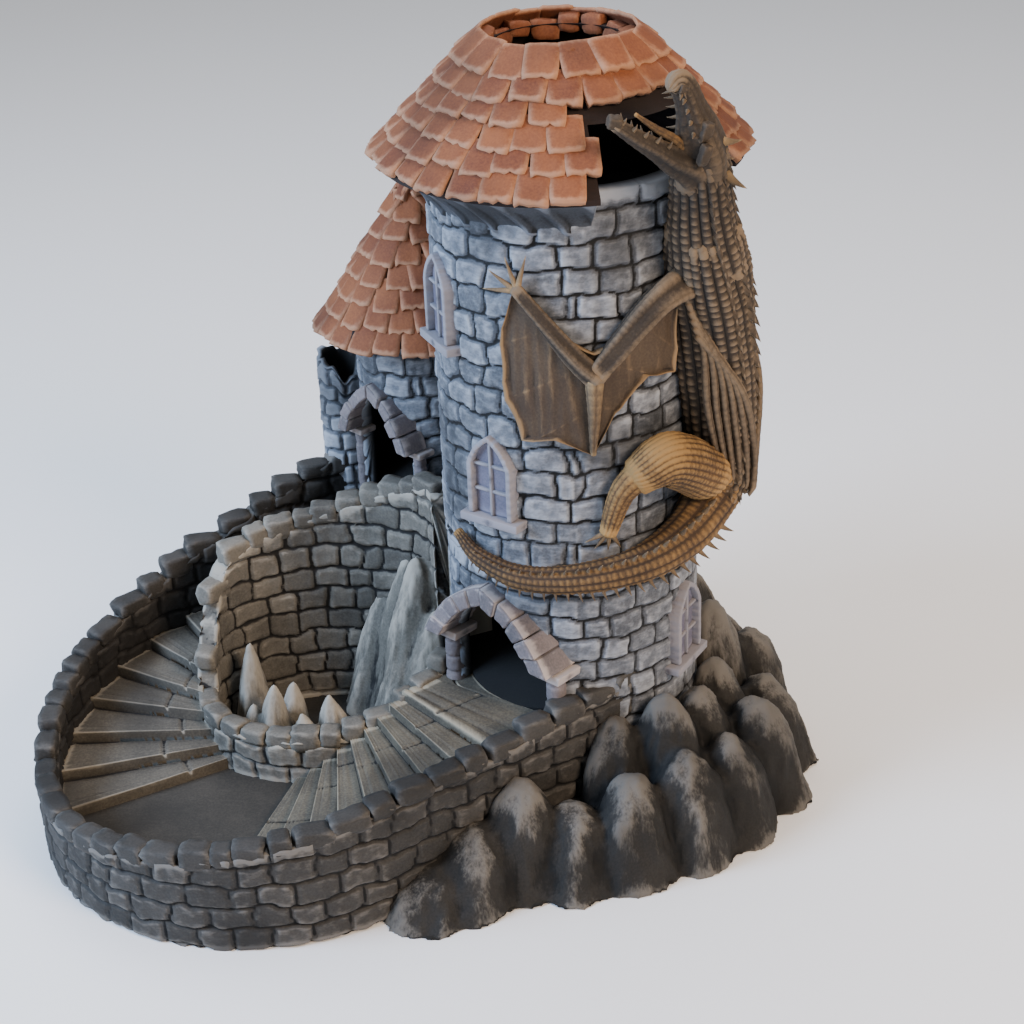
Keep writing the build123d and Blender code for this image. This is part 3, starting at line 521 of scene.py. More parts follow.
def ring_line(first, last, step):
    """Points and outward directions along the ring wall's outer face."""
    line = []
    for turn in steps_between(first, last, degrees(step / (0.9 * ring_half_length))):
        a = radians(turn)
        outward = Vector((ring_half_width * sin(a), -ring_half_length * cos(a))).normalized()
        line.append(((ring_centre[0] + ring_half_length * sin(a),
                      ring_centre[1] - ring_half_width * cos(a)), tuple(outward)))
    return line


def strip_wall(name, line, thickness, foot, tops, seed, inner_face_shade=0.0, step=0.8):
    """A thin carved wall along a line: up its outer face, over its top and down its inner."""
    rows = 2 * max(round((max(tops) - foot) / step), 4)
    across = max(3, round(thickness / 1.2))
    ring = 2 * (rows // 2 + 1) + across - 1
    run = [0.0]
    for (a, _), (b, _) in zip(line, line[1:]):
        run.append(run[-1] + hypot(b[0] - a[0], b[1] - a[1]))
    points = []
    places = []
    inner_shades = []
    for ((x, y), (ox, oy)), u, top in zip(line, run, tops):
        ragged = top + 1.3 * noise.noise(Vector((u / 4.0, seed, 0.0)))
        outside = [(0.0, foot + (ragged - foot) * i / (rows // 2), 1.0) for i in range(rows // 2 + 1)]
        over = [(thickness * i / across, ragged, 0.7) for i in range(1, across)]
        inside = [(thickness, z, 1.0) for _, z, _ in outside[::-1]]
        for depth, z, carved in outside + over + inside:
            points.append((x - depth * ox, y - depth * oy, z))
            places.append((u, z + depth * 0.6, carved))
            # points on the inner face get the inner-face darkening, which the paint mixes toward near black:
            # painted shade
            inner_shades.append(inner_face_shade if depth == thickness else 0.0)
    faces = []
    count = len(line)
    for i in range(count - 1):
        for j in range(ring):
            k = (j + 1) % ring
            faces.append((i * ring + j, i * ring + k, (i + 1) * ring + k, (i + 1) * ring + j))
    faces.append(tuple(range(ring - 1, -1, -1)))
    faces.append(tuple((count - 1) * ring + j for j in range(ring)))
    piece = mesh_piece(name, points, faces)
    set_attribute(piece, "wall_place", "FLOAT_VECTOR", places)
    set_attribute(piece, "hidden", "FLOAT", inner_shades)
    recalculate(piece)
    return piece


def rough_block(name, size, seed, cuts=3, roughness=0.10):
    """One hewn stone: a cube with its corners knocked off and its faces dented."""
    working = bmesh.new()
    bmesh.ops.create_cube(working, size=1.0)
    bmesh.ops.subdivide_edges(working, edges=working.edges[:], cuts=cuts, use_grid_fill=True)
    for vert in working.verts:
        p = vert.co.copy()
        rounded = p.normalized() * 0.62
        corner = sum(abs(c) > 0.49 for c in p)
        p = p.lerp(rounded, (0.0, 0.06, 0.22, 0.42)[corner])
        p += Vector(noise.noise_vector(p * 2.3 + Vector((seed, 0, 0)))) * roughness
        vert.co = Vector((p.x * size[0], p.y * size[1], p.z * size[2])) * MM
    mesh = bpy.data.meshes.new(name)
    working.to_mesh(mesh)
    working.free()
    stone = bpy.data.objects.new(name, mesh)
    bpy.context.scene.collection.objects.link(stone)
    return stone


coping, given = new_tree("set_coping_stones", {"Gap": 0.9, "Seed": 1})
blocks = add(coping, "GeometryNodeCollectionInfo", {"Separate Children": True, "Reset Children": True})
coping.interface.new_socket("Stones", in_out="INPUT", socket_type="NodeSocketCollection")
given = [n for n in coping.nodes if n.bl_idname == "NodeGroupInput"][0].outputs
coping.links.new(given["Stones"], blocks.inputs["Collection"])
turn = add(coping, "GeometryNodeInputNamedAttribute", {"Name": "turn"}, data_type="FLOAT_VECTOR")
size = add(coping, "GeometryNodeInputNamedAttribute", {"Name": "size"}, data_type="FLOAT_VECTOR")
pick = add(coping, "FunctionNodeRandomValue", data_type="INT")
for socket in pick.inputs:
    if socket.type == "INT" and socket.name == "Max":
        socket.default_value = 5
    if socket.name == "Seed":
        coping.links.new(given["Seed"], socket)
picked = [socket for socket in pick.outputs if socket.type == "INT"][0]
as_points = add(coping, "GeometryNodeMeshToPoints", {"Mesh": given["Geometry"]})
laid = add(coping, "GeometryNodeInstanceOnPoints", {"Points": as_points.outputs[0],
           "Instance": blocks.outputs[0], "Pick Instance": True, "Instance Index": picked,
           "Rotation": turn.outputs[0], "Scale": size.outputs[0]})
solid = add(coping, "GeometryNodeRealizeInstances", [laid.outputs[0]])
tint = add(coping, "FunctionNodeRandomValue", data_type="FLOAT")
for socket in tint.inputs:
    if socket.name == "ID":
        island = add(coping, "GeometryNodeInputMeshIsland")
        coping.links.new(island.outputs["Island Index"], socket)
tinted = add(coping, "GeometryNodeStoreNamedAttribute", {"Geometry": solid.outputs[0], "Name": "stone"},
             data_type="FLOAT", domain="POINT")
coping.links.new([socket for socket in tint.outputs if socket.enabled][0], tinted.inputs["Value"])
finish_tree(coping, tinted.outputs[0], given["Paint"])

stone_kit = bpy.data.collections.new("hewn_stones")
for seed in range(6):
    stone = rough_block(f"hewn_stone_{seed}", (1.0, 1.0, 1.0), 7.3 * seed)
    bpy.context.scene.collection.objects.unlink(stone)
    stone_kit.objects.link(stone)


def stones_on(name, places, paint, seed):
    """A piece made of hewn stones, one at each place: middle, turn about Z, and size."""
    marks = mesh_piece(name, [middle for middle, _, _ in places], [])
    set_attribute(marks, "turn", "FLOAT_VECTOR", [turn for _, turn, _ in places])
    set_attribute(marks, "size", "FLOAT_VECTOR", [size for _, _, size in places])
    run_tree(marks, coping, {"Paint": paint, "Stones": stone_kit, "Seed": seed})
    return run_tree(marks, masks, {"Paint": paint, "Fine passes": 1, "Broad passes": 4, "Gain": 0.33})


def coping_places(line, thickness, tops, length, height, seed):
    """Places for the coping stones along a wall, each a little different."""
    dice = np.random.default_rng(seed)
    places = []
    reach = 0.0
    wanted = length
    for i in range(1, len(line)):
        a, b = line[i - 1][0], line[i][0]
        reach += hypot(b[0] - a[0], b[1] - a[1])
        if reach < wanted:
            continue
        j = max(0, i - int(reach / 2 / max(hypot(b[0] - a[0], b[1] - a[1]), 0.01)))
        (x, y), (ox, oy) = line[j]
        tall = height * dice.uniform(0.85, 1.25)
        slope = (tops[min(j + 4, len(tops) - 1)] - tops[max(j - 4, 0)]) / (8 * reach / max(i, 1) + 6.4)
        places.append((
            (x - ox * thickness / 2, y - oy * thickness / 2, tops[j] + tall * dice.uniform(0.04, 0.18)),
            (dice.uniform(-0.06, 0.06), dice.uniform(-0.08, 0.08),
             atan2(oy, ox) + pi / 2 + dice.uniform(-0.07, 0.07)),
            (reach - 0.5, thickness * dice.uniform(0.98, 1.06), tall),
        ))
        reach = 0.0
        wanted = length * dice.uniform(0.72, 1.3)
    return places


def heights_along(line, table):
    """Height of a wall's top at each point of its line, from a table by share of its run."""
    run = [0.0]
    for (a, _), (b, _) in zip(line, line[1:]):
        run.append(run[-1] + hypot(b[0] - a[0], b[1] - a[1]))
    shares, values = zip(*table)
    return list(np.interp([r / run[-1] for r in run], shares, values))


coping_height = 5.4
curtain_path = curtain_line(1.0)
curtain_heights = [h - 3.5 for h in heights_along(curtain_path, curtain_tops)]
# the 0.6 darkens the court face of the curtain wall toward near black: painted shade in the tray
curtain_wall = strip_wall("curtain_wall_stones", curtain_path, curtain_thickness, 0.0, curtain_heights,
                          2.0, 0.6,
                          0.95)
run_tree(curtain_wall, carving, {"Paint": court_paint, "Stone length": 11.5, "Course height": 7.4,
                                 "Seed": 5.0,
                                 "Joint width": 0.95, "Joint depth": 1.0, "Stone roughness": 1.1})
run_tree(curtain_wall, masks, {"Paint": court_paint})
fasten(curtain_wall, "base", "court_stone", "curtain_wall")
curtain_coping = stones_on("curtain_wall_coping",
                           coping_places(curtain_path, curtain_thickness, curtain_heights, 9.0,
                                         coping_height, 4),
                           court_paint, 4)
fasten(curtain_coping, "base", "court_stone")

ring_paint = brush_paint("buff_stone_drybrushed", "#161514", "#4c4a45", "#716d64", "#aaa497", (2.0, 2.0, 0.8),
                         1.0, 0.36, 0.7, 0.35)
for name, first, last, node, seed in (("ring_wall_low", ring_start_turn, ring_break_turn, "ring_wall_low", 8),
                                      ("ring_wall_tall", ring_break_turn, ring_end_turn, "ring_wall_tall",
                                       9)):
    path = ring_line(first, last, 0.8)
    turns = steps_between(first, last, degrees(0.8 / (0.9 * ring_half_length)))
    kept = [i for i, ((x, y), (ox, oy)) in enumerate(path)
            if hypot(x - 3 * ox, y - 3 * oy) > lower_radius + 1.0]
    path = [path[i] for i in kept]
    table_turns, table_heights = zip(*ring_tops)
    heights = [h - 3.0 for h in np.interp([turns[i] for i in kept], table_turns, table_heights)]
    wall = strip_wall(f"{name}_stones", path, ring_thickness, slab_height - 0.5, heights, seed)
    run_tree(wall, carving, {"Paint": ring_paint, "Stone length": 11.0, "Course height": 7.8,
                             "Seed": float(seed),
                             "Joint width": 1.05, "Joint depth": 0.9, "Stone roughness": 0.9})
    run_tree(wall, masks, {"Paint": ring_paint})
    fasten(wall, "base", "court_stone", node)
    coping_stones = stones_on(f"{name}_coping",
                              coping_places(path, ring_thickness, heights, 8.2, coping_height, seed),
                              ring_paint, seed)
    fasten(coping_stones, "base", "court_stone")

# ---- stairs -------------------------------------------------------------------------------
# Two winding flights of plank treads.  Each tread is one heavy board with two thin grooves
# along its nosing, a saw cut or two across it, and the long grain of weathered wood.


def solid_under(name, grid, foot):
    """A closed solid under a grid of points, down to a flat foot."""
    rows, columns = len(grid), len(grid[0])
    points = [p for line in grid for p in line] + [(x, y, foot) for line in grid for x, y, _ in line]
    below = rows * columns
    faces = []
    for i in range(rows - 1):
        for j in range(columns - 1):
            a = i * columns + j
            b, c, d = a + 1, a + columns + 1, a + columns
            faces.append((a, b, c, d))
            faces.append((below + d, below + c, below + b, below + a))
    rim = [j for j in range(columns - 1)]
    rim += [i * columns + columns - 1 for i in range(rows - 1)]
    rim += [(rows - 1) * columns + j for j in range(columns - 1, 0, -1)]
    rim += [i * columns for i in range(rows - 1, 0, -1)]
    for a, b in zip(rim, rim[1:] + rim[:1]):
        faces.append((b, a, below + a, below + b))
    piece = mesh_piece(name, points, faces)
    recalculate(piece)
    return piece


def curtain_reach(origin, bearing):
    """Distance from a point to just inside the curtain wall's inner face, along a bearing."""
    dx, dy = at((0, 0), 1.0, bearing)
    fx, fy = origin[0] - court_centre[0], origin[1] - court_centre[1]
    inner = court_radius - curtain_thickness + 1.5
    half = fx * dx + fy * dy
    reach = -half + sqrt(half * half - (fx * fx + fy * fy - inner * inner))
    # past its tangent the wall runs straight to the tower, and the tower itself stops the boards
    turn = degrees(atan2(fx + reach * dx, -(fy + reach * dy)))
    leaves = tangent_bearing(at(main_axis, lower_radius - 1.0, join_bearing), -1)
    if leaves < turn < 120:
        nx, ny = at((0, 0), 1.0, leaves)
        reach = (inner - fx * nx - fy * ny) / (dx * nx + dy * ny)
        toward = origin[0] * dx + origin[1] * dy
        room = toward**2 - (hypot(*origin) ** 2 - (lower_radius - 4.0) ** 2)
        if room > 0 and -toward - sqrt(room) > 0:
            reach = min(reach, -toward - sqrt(room))
    return reach


def ring_reach(origin, bearing):
    """Distance from a point inside the oval to just inside the ring wall's outer face."""
    dx, dy = at((0, 0), 1.0, bearing)
    a, b = ring_half_length - 1.5, ring_half_width - 1.5
    fx, fy = origin[0] - ring_centre[0], origin[1] - ring_centre[1]
    qa = (dx / a) ** 2 + (dy / b) ** 2
    qb = 2 * (fx * dx / a**2 + fy * dy / b**2)
    qc = (fx / a) ** 2 + (fy / b) ** 2 - 1
    return (-qb + sqrt(qb * qb - 4 * qa * qc)) / (2 * qa)


def board_relief(t, run, length, cut):
    """How far a board's top lies below flat at a share of its going and a place along it."""
    sunk = 0.0
    for groove in (0.10, 0.24):
        sunk += 0.55 * max(0.0, 1 - abs(t - groove) / 0.035)
    sunk += 0.7 * max(0.0, 1 - abs(run - cut * length) / 0.8)
    sunk += 0.35 * max(0.0, (0.06 - t) / 0.06) ** 2
    return sunk


def winder(fan, start, end, low, top, seed, steps_across=14):
    """Grid lines of one winding tread: up its riser at the start bearing, then across its top."""
    lines = []
    cut = 0.35 + 0.3 * noise.noise(Vector((seed * 3.1, 0.2, 0.0)))
    shares = [0.0, 0.0, 0.0] + [0.004] + list(np.linspace(0.03, 1.0, steps_across))
    heights = [low, low + 0.4 * (top - low), top - 0.5, top]
    for k, t in enumerate(shares):
        bearing = start + (end - start) * t
        near = ring_reach(fan, bearing)
        far = max(curtain_reach(fan, bearing), near + 0.5)
        count = 60
        line = []
        for i in range(count + 1):
            reach = near + (far - near) * i / count
            x, y = at(fan, reach, bearing)
            grain = 0.28 * noise.noise(Vector((t * (far - near) * 0.35, reach * 0.05, seed)))
            z = heights[k] if k < 3 else top - board_relief(t, reach - near, far - near, cut) + grain
            line.append((x, y, z))
        lines.append(line)
    return lines


short_fan = (-78.0, 12.0)
short_first = 39.0
short_turn = 7.1
short_count = 8
short_riser = 3.3
# Stained planks with a pale dry-brushed grain.
wood_paint = brush_paint("plank_stain_drybrushed", "#121110", "#4a463e", "#77705f", "#aaa08a",
                         (0.9, 6.0, 1.0))
long_paint = brush_paint("dark_plank_drybrushed", "#0f0e0e", "#45423c", "#6b665b", "#9a9384", (3.0, 1.0, 1.0))


def stair_piece(name, lines, paint):
    """One flight: its boards' grid lines closed into a solid, grained and painted."""
    flight = solid_under(name, lines, slab_height - 0.4)
    return run_tree(flight, masks, {"Paint": paint, "Fine passes": 3, "Broad passes": 14})


landing_start = short_first + 34
flight_lines = []
for step in range(short_count):
    end = short_first - step * short_turn
    start = end - short_turn
    top = door_sill - (step + 1) * short_riser
    below = top - short_riser if step < short_count - 1 else slab_height - 0.3
    flight_lines = winder(short_fan, start, end, below, top, step + 1.0) + flight_lines
landing = winder(short_fan, short_first, landing_start, door_sill - short_riser, door_sill, 20.0, 44)
short_flight = stair_piece("short_flight_boards", flight_lines + landing, wood_paint)
fasten(short_flight, "base", "stair_tread", "stair_short")

long_fan = (-103.0, -8.0)
long_first = -62.0
long_riser = 4.0
long_count = 8
long_turn = (180.0 + long_first) / long_count
straight_run = 5.1
small_sill = 72.5
straight_count = round((small_sill - slab_height - long_count * long_riser) / long_riser)
flight_lines = []
for step in range(long_count):
    start = long_first - step * long_turn
    top = slab_height + (step + 1) * long_riser
    below = top - long_riser - 0.3 * (step == 0)
    flight_lines += winder(long_fan, start, start - long_turn, below, top, 30.0 + step)
for step in range(straight_count):
    left = long_fan[0] + step * straight_run
    right = left + straight_run if step < straight_count - 1 else -26.0
    top = slab_height + (long_count + step + 1) * long_riser
    top = min(top, small_sill)
    shares = [0.0, 0.0, 0.0, 0.004] + list(np.linspace(0.03, 1.0, 8 if step < straight_count - 1 else 30))
    heights = [top - long_riser, top - 0.6 * long_riser, top - 0.5, top]
    for k, t in enumerate(shares):
        x = left + (right - left) * t
        inside = max(0.0, 1 - ((x - ring_centre[0]) / (ring_half_length - 1.5)) ** 2)
        near = ring_centre[1] + (ring_half_width - 1.5) * sqrt(inside)
        inner_face = court_radius - curtain_thickness + 1.5
        far = court_centre[1] + sqrt(max(1.0, inner_face ** 2 - (x - court_centre[0]) ** 2))
        across_wall = tangent_bearing(turret_centre, 1) - 360
        corner = at(court_centre, inner_face, across_wall)
        slope = tan(radians(across_wall + 180))
        if x > corner[0]:
            far = max(far, corner[1] + (x - corner[0]) * slope)
        far = min(max(far, near + 4), 59.5)
        line = []
        for i in range(61):
            y = near + (far - near) * i / 60
            grain = 0.28 * noise.noise(Vector((t * 8, y * 0.3, step + 50.0)))
            z = heights[k] if k < 3 else top - board_relief(t, y - near, far - near, 0.4) + grain
            line.append((x, y, z))
        flight_lines.append(line)
long_flight = stair_piece("long_flight_boards", flight_lines, long_paint)
fasten(long_flight, "base", "stair_tread", "stair_long")

# ---- rock: pit shards, boulders and the cliff round the foot ----------------------------------
# Smooth tall fingers of rock, each a leaning lobe.  They are modelled one by one, fused into
# one casting, and scored with the long upright strokes of a broad dry brush.

weather, given = new_tree("weather_surface", {"Grain": 3.0, "Upright stretch": 1.0, "Depth": 0.4})
position = add(weather, "GeometryNodeInputPosition").outputs[0]
finer = add(weather, "ShaderNodeMath", [1 / MM, given["Grain"]], operation="DIVIDE")
upright = add(weather, "ShaderNodeMath", [1.0, given["Upright stretch"]], operation="DIVIDE")
shape = add(weather, "ShaderNodeCombineXYZ", [1.0, 1.0, upright.outputs[0]])
squeezed = add(weather, "ShaderNodeVectorMath", [position, shape.outputs[0]], operation="MULTIPLY")
dents = add(weather, "ShaderNodeTexNoise",
            {"Vector": squeezed.outputs[0], "Scale": finer.outputs[0], "Detail": 3.0})
level = add(weather, "ShaderNodeMath", [dents.outputs["Fac"], 0.55], operation="SUBTRACT")
deep = add(weather, "ShaderNodeMath", [level.outputs[0], given["Depth"]], operation="MULTIPLY")
metres = add(weather, "ShaderNodeMath", [deep.outputs[0], 2 * MM], operation="MULTIPLY")
normal = add(weather, "GeometryNodeInputNormal").outputs[0]
push = add(weather, "ShaderNodeVectorMath", {0: normal, "Scale": metres.outputs[0]}, operation="SCALE")
moved = add(weather, "GeometryNodeSetPosition", {"Geometry": given["Geometry"], "Offset": push.outputs[0]})
finish_tree(weather, moved.outputs[0], given["Paint"])


def lobe(points, faces, foot, tip, radius, tip_radius, flats, seed, rows=26, count=28):
    """Adds one finger of rock: from its foot to its tip, domed, faceted and a little crooked."""
    base = len(points)
    foot, tip = Vector(foot), Vector(tip)
    for row in range(rows + 1):
        t = row / rows
        middle = foot.lerp(tip, t)
        dome = sqrt(max(0.0, 1 - max(0.0, (t - 0.58) / 0.42) ** 1.7))
        ring_radius = (radius + (tip_radius - radius) * t ** 0.8) * max(dome, 0.03)
        for i in range(count):
            angle = 2 * pi * i / count
            facet = cos((angle * flats / (2 * pi) + seed) % 1.0 * pi / flats * 2 - pi / flats)
            lumpy = 1 + 0.16 * noise.noise(Vector((cos(angle) * 1.3, sin(angle) * 1.3, seed * 4.7 + t * 1.1)))
            r = ring_radius * lumpy * (0.70 + 0.30 / max(facet, 0.5) * 0.95)
            points.append((middle.x + r * cos(angle), middle.y + r * sin(angle), middle.z))
    for row in range(rows):
        for i in range(count):
            j = (i + 1) % count
            a = base + row * count
            faces.append((a + i, a + j, a + count + j, a + count + i))
    faces.append(tuple(base + i for i in range(count - 1, -1, -1)))
    faces.append(tuple(base + rows * count + i for i in range(count)))


def fused(piece, voxel_mm, relax=3):
    """One closed skin over overlapping solids, then relaxed a little."""
    remesh = piece.modifiers.new("fuse", "REMESH")
    remesh.mode = "VOXEL"
    remesh.voxel_size = voxel_mm * MM
    smooth = piece.modifiers.new("relax", "SMOOTH")
    smooth.iterations = relax
    mesh = bpy.data.meshes.new_from_object(piece.evaluated_get(bpy.context.evaluated_depsgraph_get()))
    piece.modifiers.clear()
    piece.data = mesh
    return piece


rock_paint = brush_paint("slate_rock_drybrushed", "#070706", "#1b1a18", "#312f2c", "#7f7a72", (0.7, 0.7, 9.0),
                         1.7, 0.70, 0.55, 0.4)
pit_paint = brush_paint("pale_rock_drybrushed", "#151514", "#55534c", "#7b776d", "#b3ada0", (0.8, 0.8, 9.0),
                        1.2, 0.4, 0.7, 0.2)


small_low, small_high = box_mm("small_tower_drum")
small_radius = (small_high[0] - small_low[0]) / 2
small_centre = ((small_low[0] + small_high[0]) / 2, (small_low[1] + small_high[1]) / 2)


def rock_piece(name, lobes, paint, body, node, voxel=0.95, score=0.45):
    """One fused, scored and painted mass of rock made of lobes."""
    points, faces = [], []
    for foot, tip, radius, tip_radius, flats, seed in lobes:
        lobe(points, faces, foot, tip, radius, tip_radius, flats, seed)
    rock = fused(mesh_piece(name, points, faces), voxel)
    run_tree(rock, weather, {"Paint": paint, "Grain": 10.0, "Upright stretch": 3.5, "Depth": 4.0 * score})
    run_tree(rock, weather, {"Paint": paint, "Grain": 2.8, "Upright stretch": 8.0, "Depth": 1.5 * score})
    for vert in rock.data.vertices:
        for (x, y), reach in ((main_axis, lower_radius - 2), (small_centre, small_radius - 1.8)):
            away = Vector((vert.co.x - x * MM, vert.co.y - y * MM))
            if away.length < reach * MM:
                away = away.normalized() * reach * MM
                vert.co.x, vert.co.y = x * MM + away.x, y * MM + away.y
        vert.co.z = max(vert.co.z, 0.0)
    run_tree(rock, masks, {"Paint": paint, "Fine passes": 6, "Broad passes": 110, "Gain": 0.55})
    fasten(rock, body, "rock", node)
    return rock


shards = [(-104.5, 9, 5.5, 27), (-97, -5, 5.5, 22), (-86, -8, 5.0, 15), (-104, -2, 4.0, 14),
          (-92, 4, 5.0, 17), (-77, -6, 5.5, 19)]
shard_lobes = []
for k, (x, y, radius, height) in enumerate(shards):
    lean = (1.5 * sin(k * 2.2), 1.5 * cos(k * 1.7))
    shard_lobes.append(((x, y, slab_height - 0.5), (x + lean[0], y + lean[1], slab_height + 1.2 * height),
                        1.5 * radius, 2.2, 4, k + 0.3))
    shard_lobes.append(((x + 3.4 * cos(k), y + 3.0 * sin(k), slab_height - 0.5),
                        (x + 2.4 * cos(k), y + 2.2 * sin(k), slab_height + 0.75 * height), 1.3 * radius,
                        1.8, 4, k + 0.7))
rock_piece("pit_shards_rock", shard_lobes, pit_paint, "base", "pit_shards", 0.7, 0.3)

boulders = [(-50, 12, 8.0, 66), (-60, 16, 7.0, 56), (-52, 0, 6.0, 44), (-68, 22, 6.5, 42), (-62, 3, 5.5, 34),
            (-57, 8, 7.0, 60), (-45, 20, 8.0, 68)]
boulder_lobes = [((x, y, slab_height - 0.5), (x + 8.0, y + 7.0, slab_height + height),
                  1.45 * radius, 0.75 * radius, 5, k * 1.3)
                 for k, (x, y, radius, height) in enumerate(boulders)]
rock_piece("pit_boulders_rock", boulder_lobes, pit_paint, "base", "pit_boulders", 0.8, 0.5)

# bearing, how far out from the tower's wall, and height
tall_lobes = [(14, 7, 40), (34, 10, 46), (55, 9, 40), (77, 9, 41), (99, 9, 52), (121, 9, 56),
              (143, 9, 58), (165, 9, 60), (187, 12, 62)]
low_lobes = [(-4, 26, 24), (13, 24, 30), (31, 23, 33), (49, 23, 30), (67, 24, 34), (86, 24, 30),
             (105, 24, 36), (124, 24, 32), (143, 24, 38), (162, 25, 34), (181, 28, 38), (197, 36, 42)]
small_lobes = [(140, 6, 56), (165, 7, 50), (190, 7, 58), (214, 7, 52)]
foot_lobes = [(-47, -75, 13), (-34, -70, 22), (-20, -63, 32)]
lobe_radius = 15.0
split_bearing = 92.0
cliffs = {"rock_skirt_front": [], "rock_skirt_back": []}


def cliff_lobe(x, y, height, toward, seed):
    """A cliff finger that leans in towards a tower's axis, its top domed."""
    away = Vector((x - toward[0], y - toward[1])).normalized()
    foot = (x + 1.0 * away.x, y + 1.0 * away.y, 0.0)
    tip = (x - 3.5 * away.x, y - 3.5 * away.y, height + 1.5)
    return (foot, tip, lobe_radius - 0.7, 0.56 * lobe_radius, 5, seed)


for k, (bearing, out, height) in enumerate(tall_lobes + low_lobes):
    side = "rock_skirt_front" if bearing < split_bearing else "rock_skirt_back"
    cliffs[side].append(cliff_lobe(*at(main_axis, lower_radius + out, bearing), height, main_axis, 1.37 * k))
for k, (bearing, out, height) in enumerate(small_lobes):
    cliffs["rock_skirt_back"].append(
        cliff_lobe(*at(small_centre, small_radius + out, bearing), height, small_centre, 0.7 * k))
for k, (x, y, height) in enumerate([(-20, 62, 56), (-31, 66, 62), (-17, 50, 64), (-28, 55, 66)]):
    cliffs["rock_skirt_back"].append(cliff_lobe(x, y, height, main_axis, 3.1 * k))
for k, (x, y, height) in enumerate(foot_lobes):
    cliffs["rock_skirt_front"].append(cliff_lobe(x, y, height, main_axis, 2.1 * k))
for name, lobes in cliffs.items():
    rock_piece(f"{name}_rock", lobes, rock_paint, "base", name, 1.0, 0.55)

# ---- doors and windows ------------------------------------------------------------------------
# Dressed stone: each arch is a row of wedge stones that meet at a point, on capitals and thin
# columns of stacked drums.  The windows are cast frames with glazing bars and a slab sill.

# Dressed stone, warmer and paler than the walls.
arch_paint = brush_paint("dressed_stone_drybrushed", "#131214", "#5b585b", "#82797a", "#b9b0ac",
                         (1.5, 1.5, 1.5),
                         1.0, 0.34, 0.75, 0.25)
frame_paint = brush_paint("window_stone_drybrushed", "#101013", "#3a3a42", "#5b5a61", "#918f95",
                          (1.2, 1.2, 1.2),
                          1.0, 0.3, 0.75, 0.2)
pane_paint = brush_paint("painted_panes", "#1d1d24", "#555463", "#777585", "#9a98a8", (2.0, 2.0, 1.0),
                         0.7, 0.6)


def prism_block(points, faces, centre, bearing, outline, near, far):
    """Adds an upright prism that faces a bearing: its outline, from near to far out."""
    base = len(points)
    count = len(outline)
    points += [on_wall(centre, r, bearing, x, z) for r in (near, far) for x, z in outline]
    faces.append(tuple(base + i for i in range(count)))
    faces.append(tuple(base + count + i for i in range(count - 1, -1, -1)))
    for i in range(count):
        j = (i + 1) % count
        faces.append((base + i, base + i + count, base + j + count, base + j))


def hewn_piece(name, points, faces, paint, bevel=0.7, levels=2, depth=0.35):
    """Separate dressed blocks in one piece: arrises rounded, faces dented, painted."""
    piece = mesh_piece(name, points, faces)
    recalculate(piece)
    round_off = piece.modifiers.new("arrises", "BEVEL")
    round_off.width = bevel * MM
    round_off.segments = 2
    round_off.limit_method = "ANGLE"
    finer = piece.modifiers.new("finer", "SUBSURF")
    finer.subdivision_type = "SIMPLE"
    finer.levels = levels
    finer.render_levels = levels
    mesh = bpy.data.meshes.new_from_object(piece.evaluated_get(bpy.context.evaluated_depsgraph_get()))
    piece.modifiers.clear()
    piece.data = mesh
    run_tree(piece, weather, {"Paint": paint, "Grain": 3.0, "Depth": depth})
    run_tree(piece, masks, {"Paint": paint, "Fine passes": 3, "Broad passes": 10, "Gain": 1.6})
    set_attribute(piece, "stone", "FLOAT", stone_values(piece))
    return piece


def stone_values(piece):
    """One value between 0 and 1 for each separate block of a piece."""
    parent = list(range(len(piece.data.vertices)))

    def root(i):
        while parent[i] != i:
            parent[i] = parent[parent[i]]
            i = parent[i]
        return i

    for edge in piece.data.edges:
        a, b = root(edge.vertices[0]), root(edge.vertices[1])
        parent[a] = b
    return [(root(i) * 0.61803) % 1.0 for i in range(len(parent))]


def arch_stones(name, centre, bearing, width, spring, apex, band, near, far, count, paint):
    """Wedge stones along both limbs of a pointed arch, meeting at its point."""
    inner = arch_outline(width, spring, apex, spring, 4 * count)[1:-1]
    outer = arch_outline(width + 2 * band, spring, apex + band, spring, 4 * count)[1:-1]
    points, faces = [], []
    for k in range(2 * count):
        a, b = 4 * k, 4 * (k + 1)
        jut = 0.5 * sin(2.4 * k + width)
        outline = inner[a : b + 1 : 2] + outer[a : b + 1 : 2][::-1]
        middle = (sum(p[0] for p in outline) / len(outline), sum(p[1] for p in outline) / len(outline))
        outline = [(x + (middle[0] - x) * 0.045, z + (middle[1] - z) * 0.045) for x, z in outline]
        prism_block(points, faces, centre, bearing, outline, near, far + jut)
    return hewn_piece(name, points, faces, paint)


arch_band = 7.0
arch_stands_out = 4.0
column_radius = 3.0
capital_height = 3.0
main_arch = arch_stones("main_door_arch_stones", main_axis, door_bearing, door_width, door_spring, door_apex,
                        arch_band, lower_radius - 11, lower_radius + arch_stands_out, 5, arch_paint)
fasten(main_arch, "base", "dressed_stone", "main_door_arch")


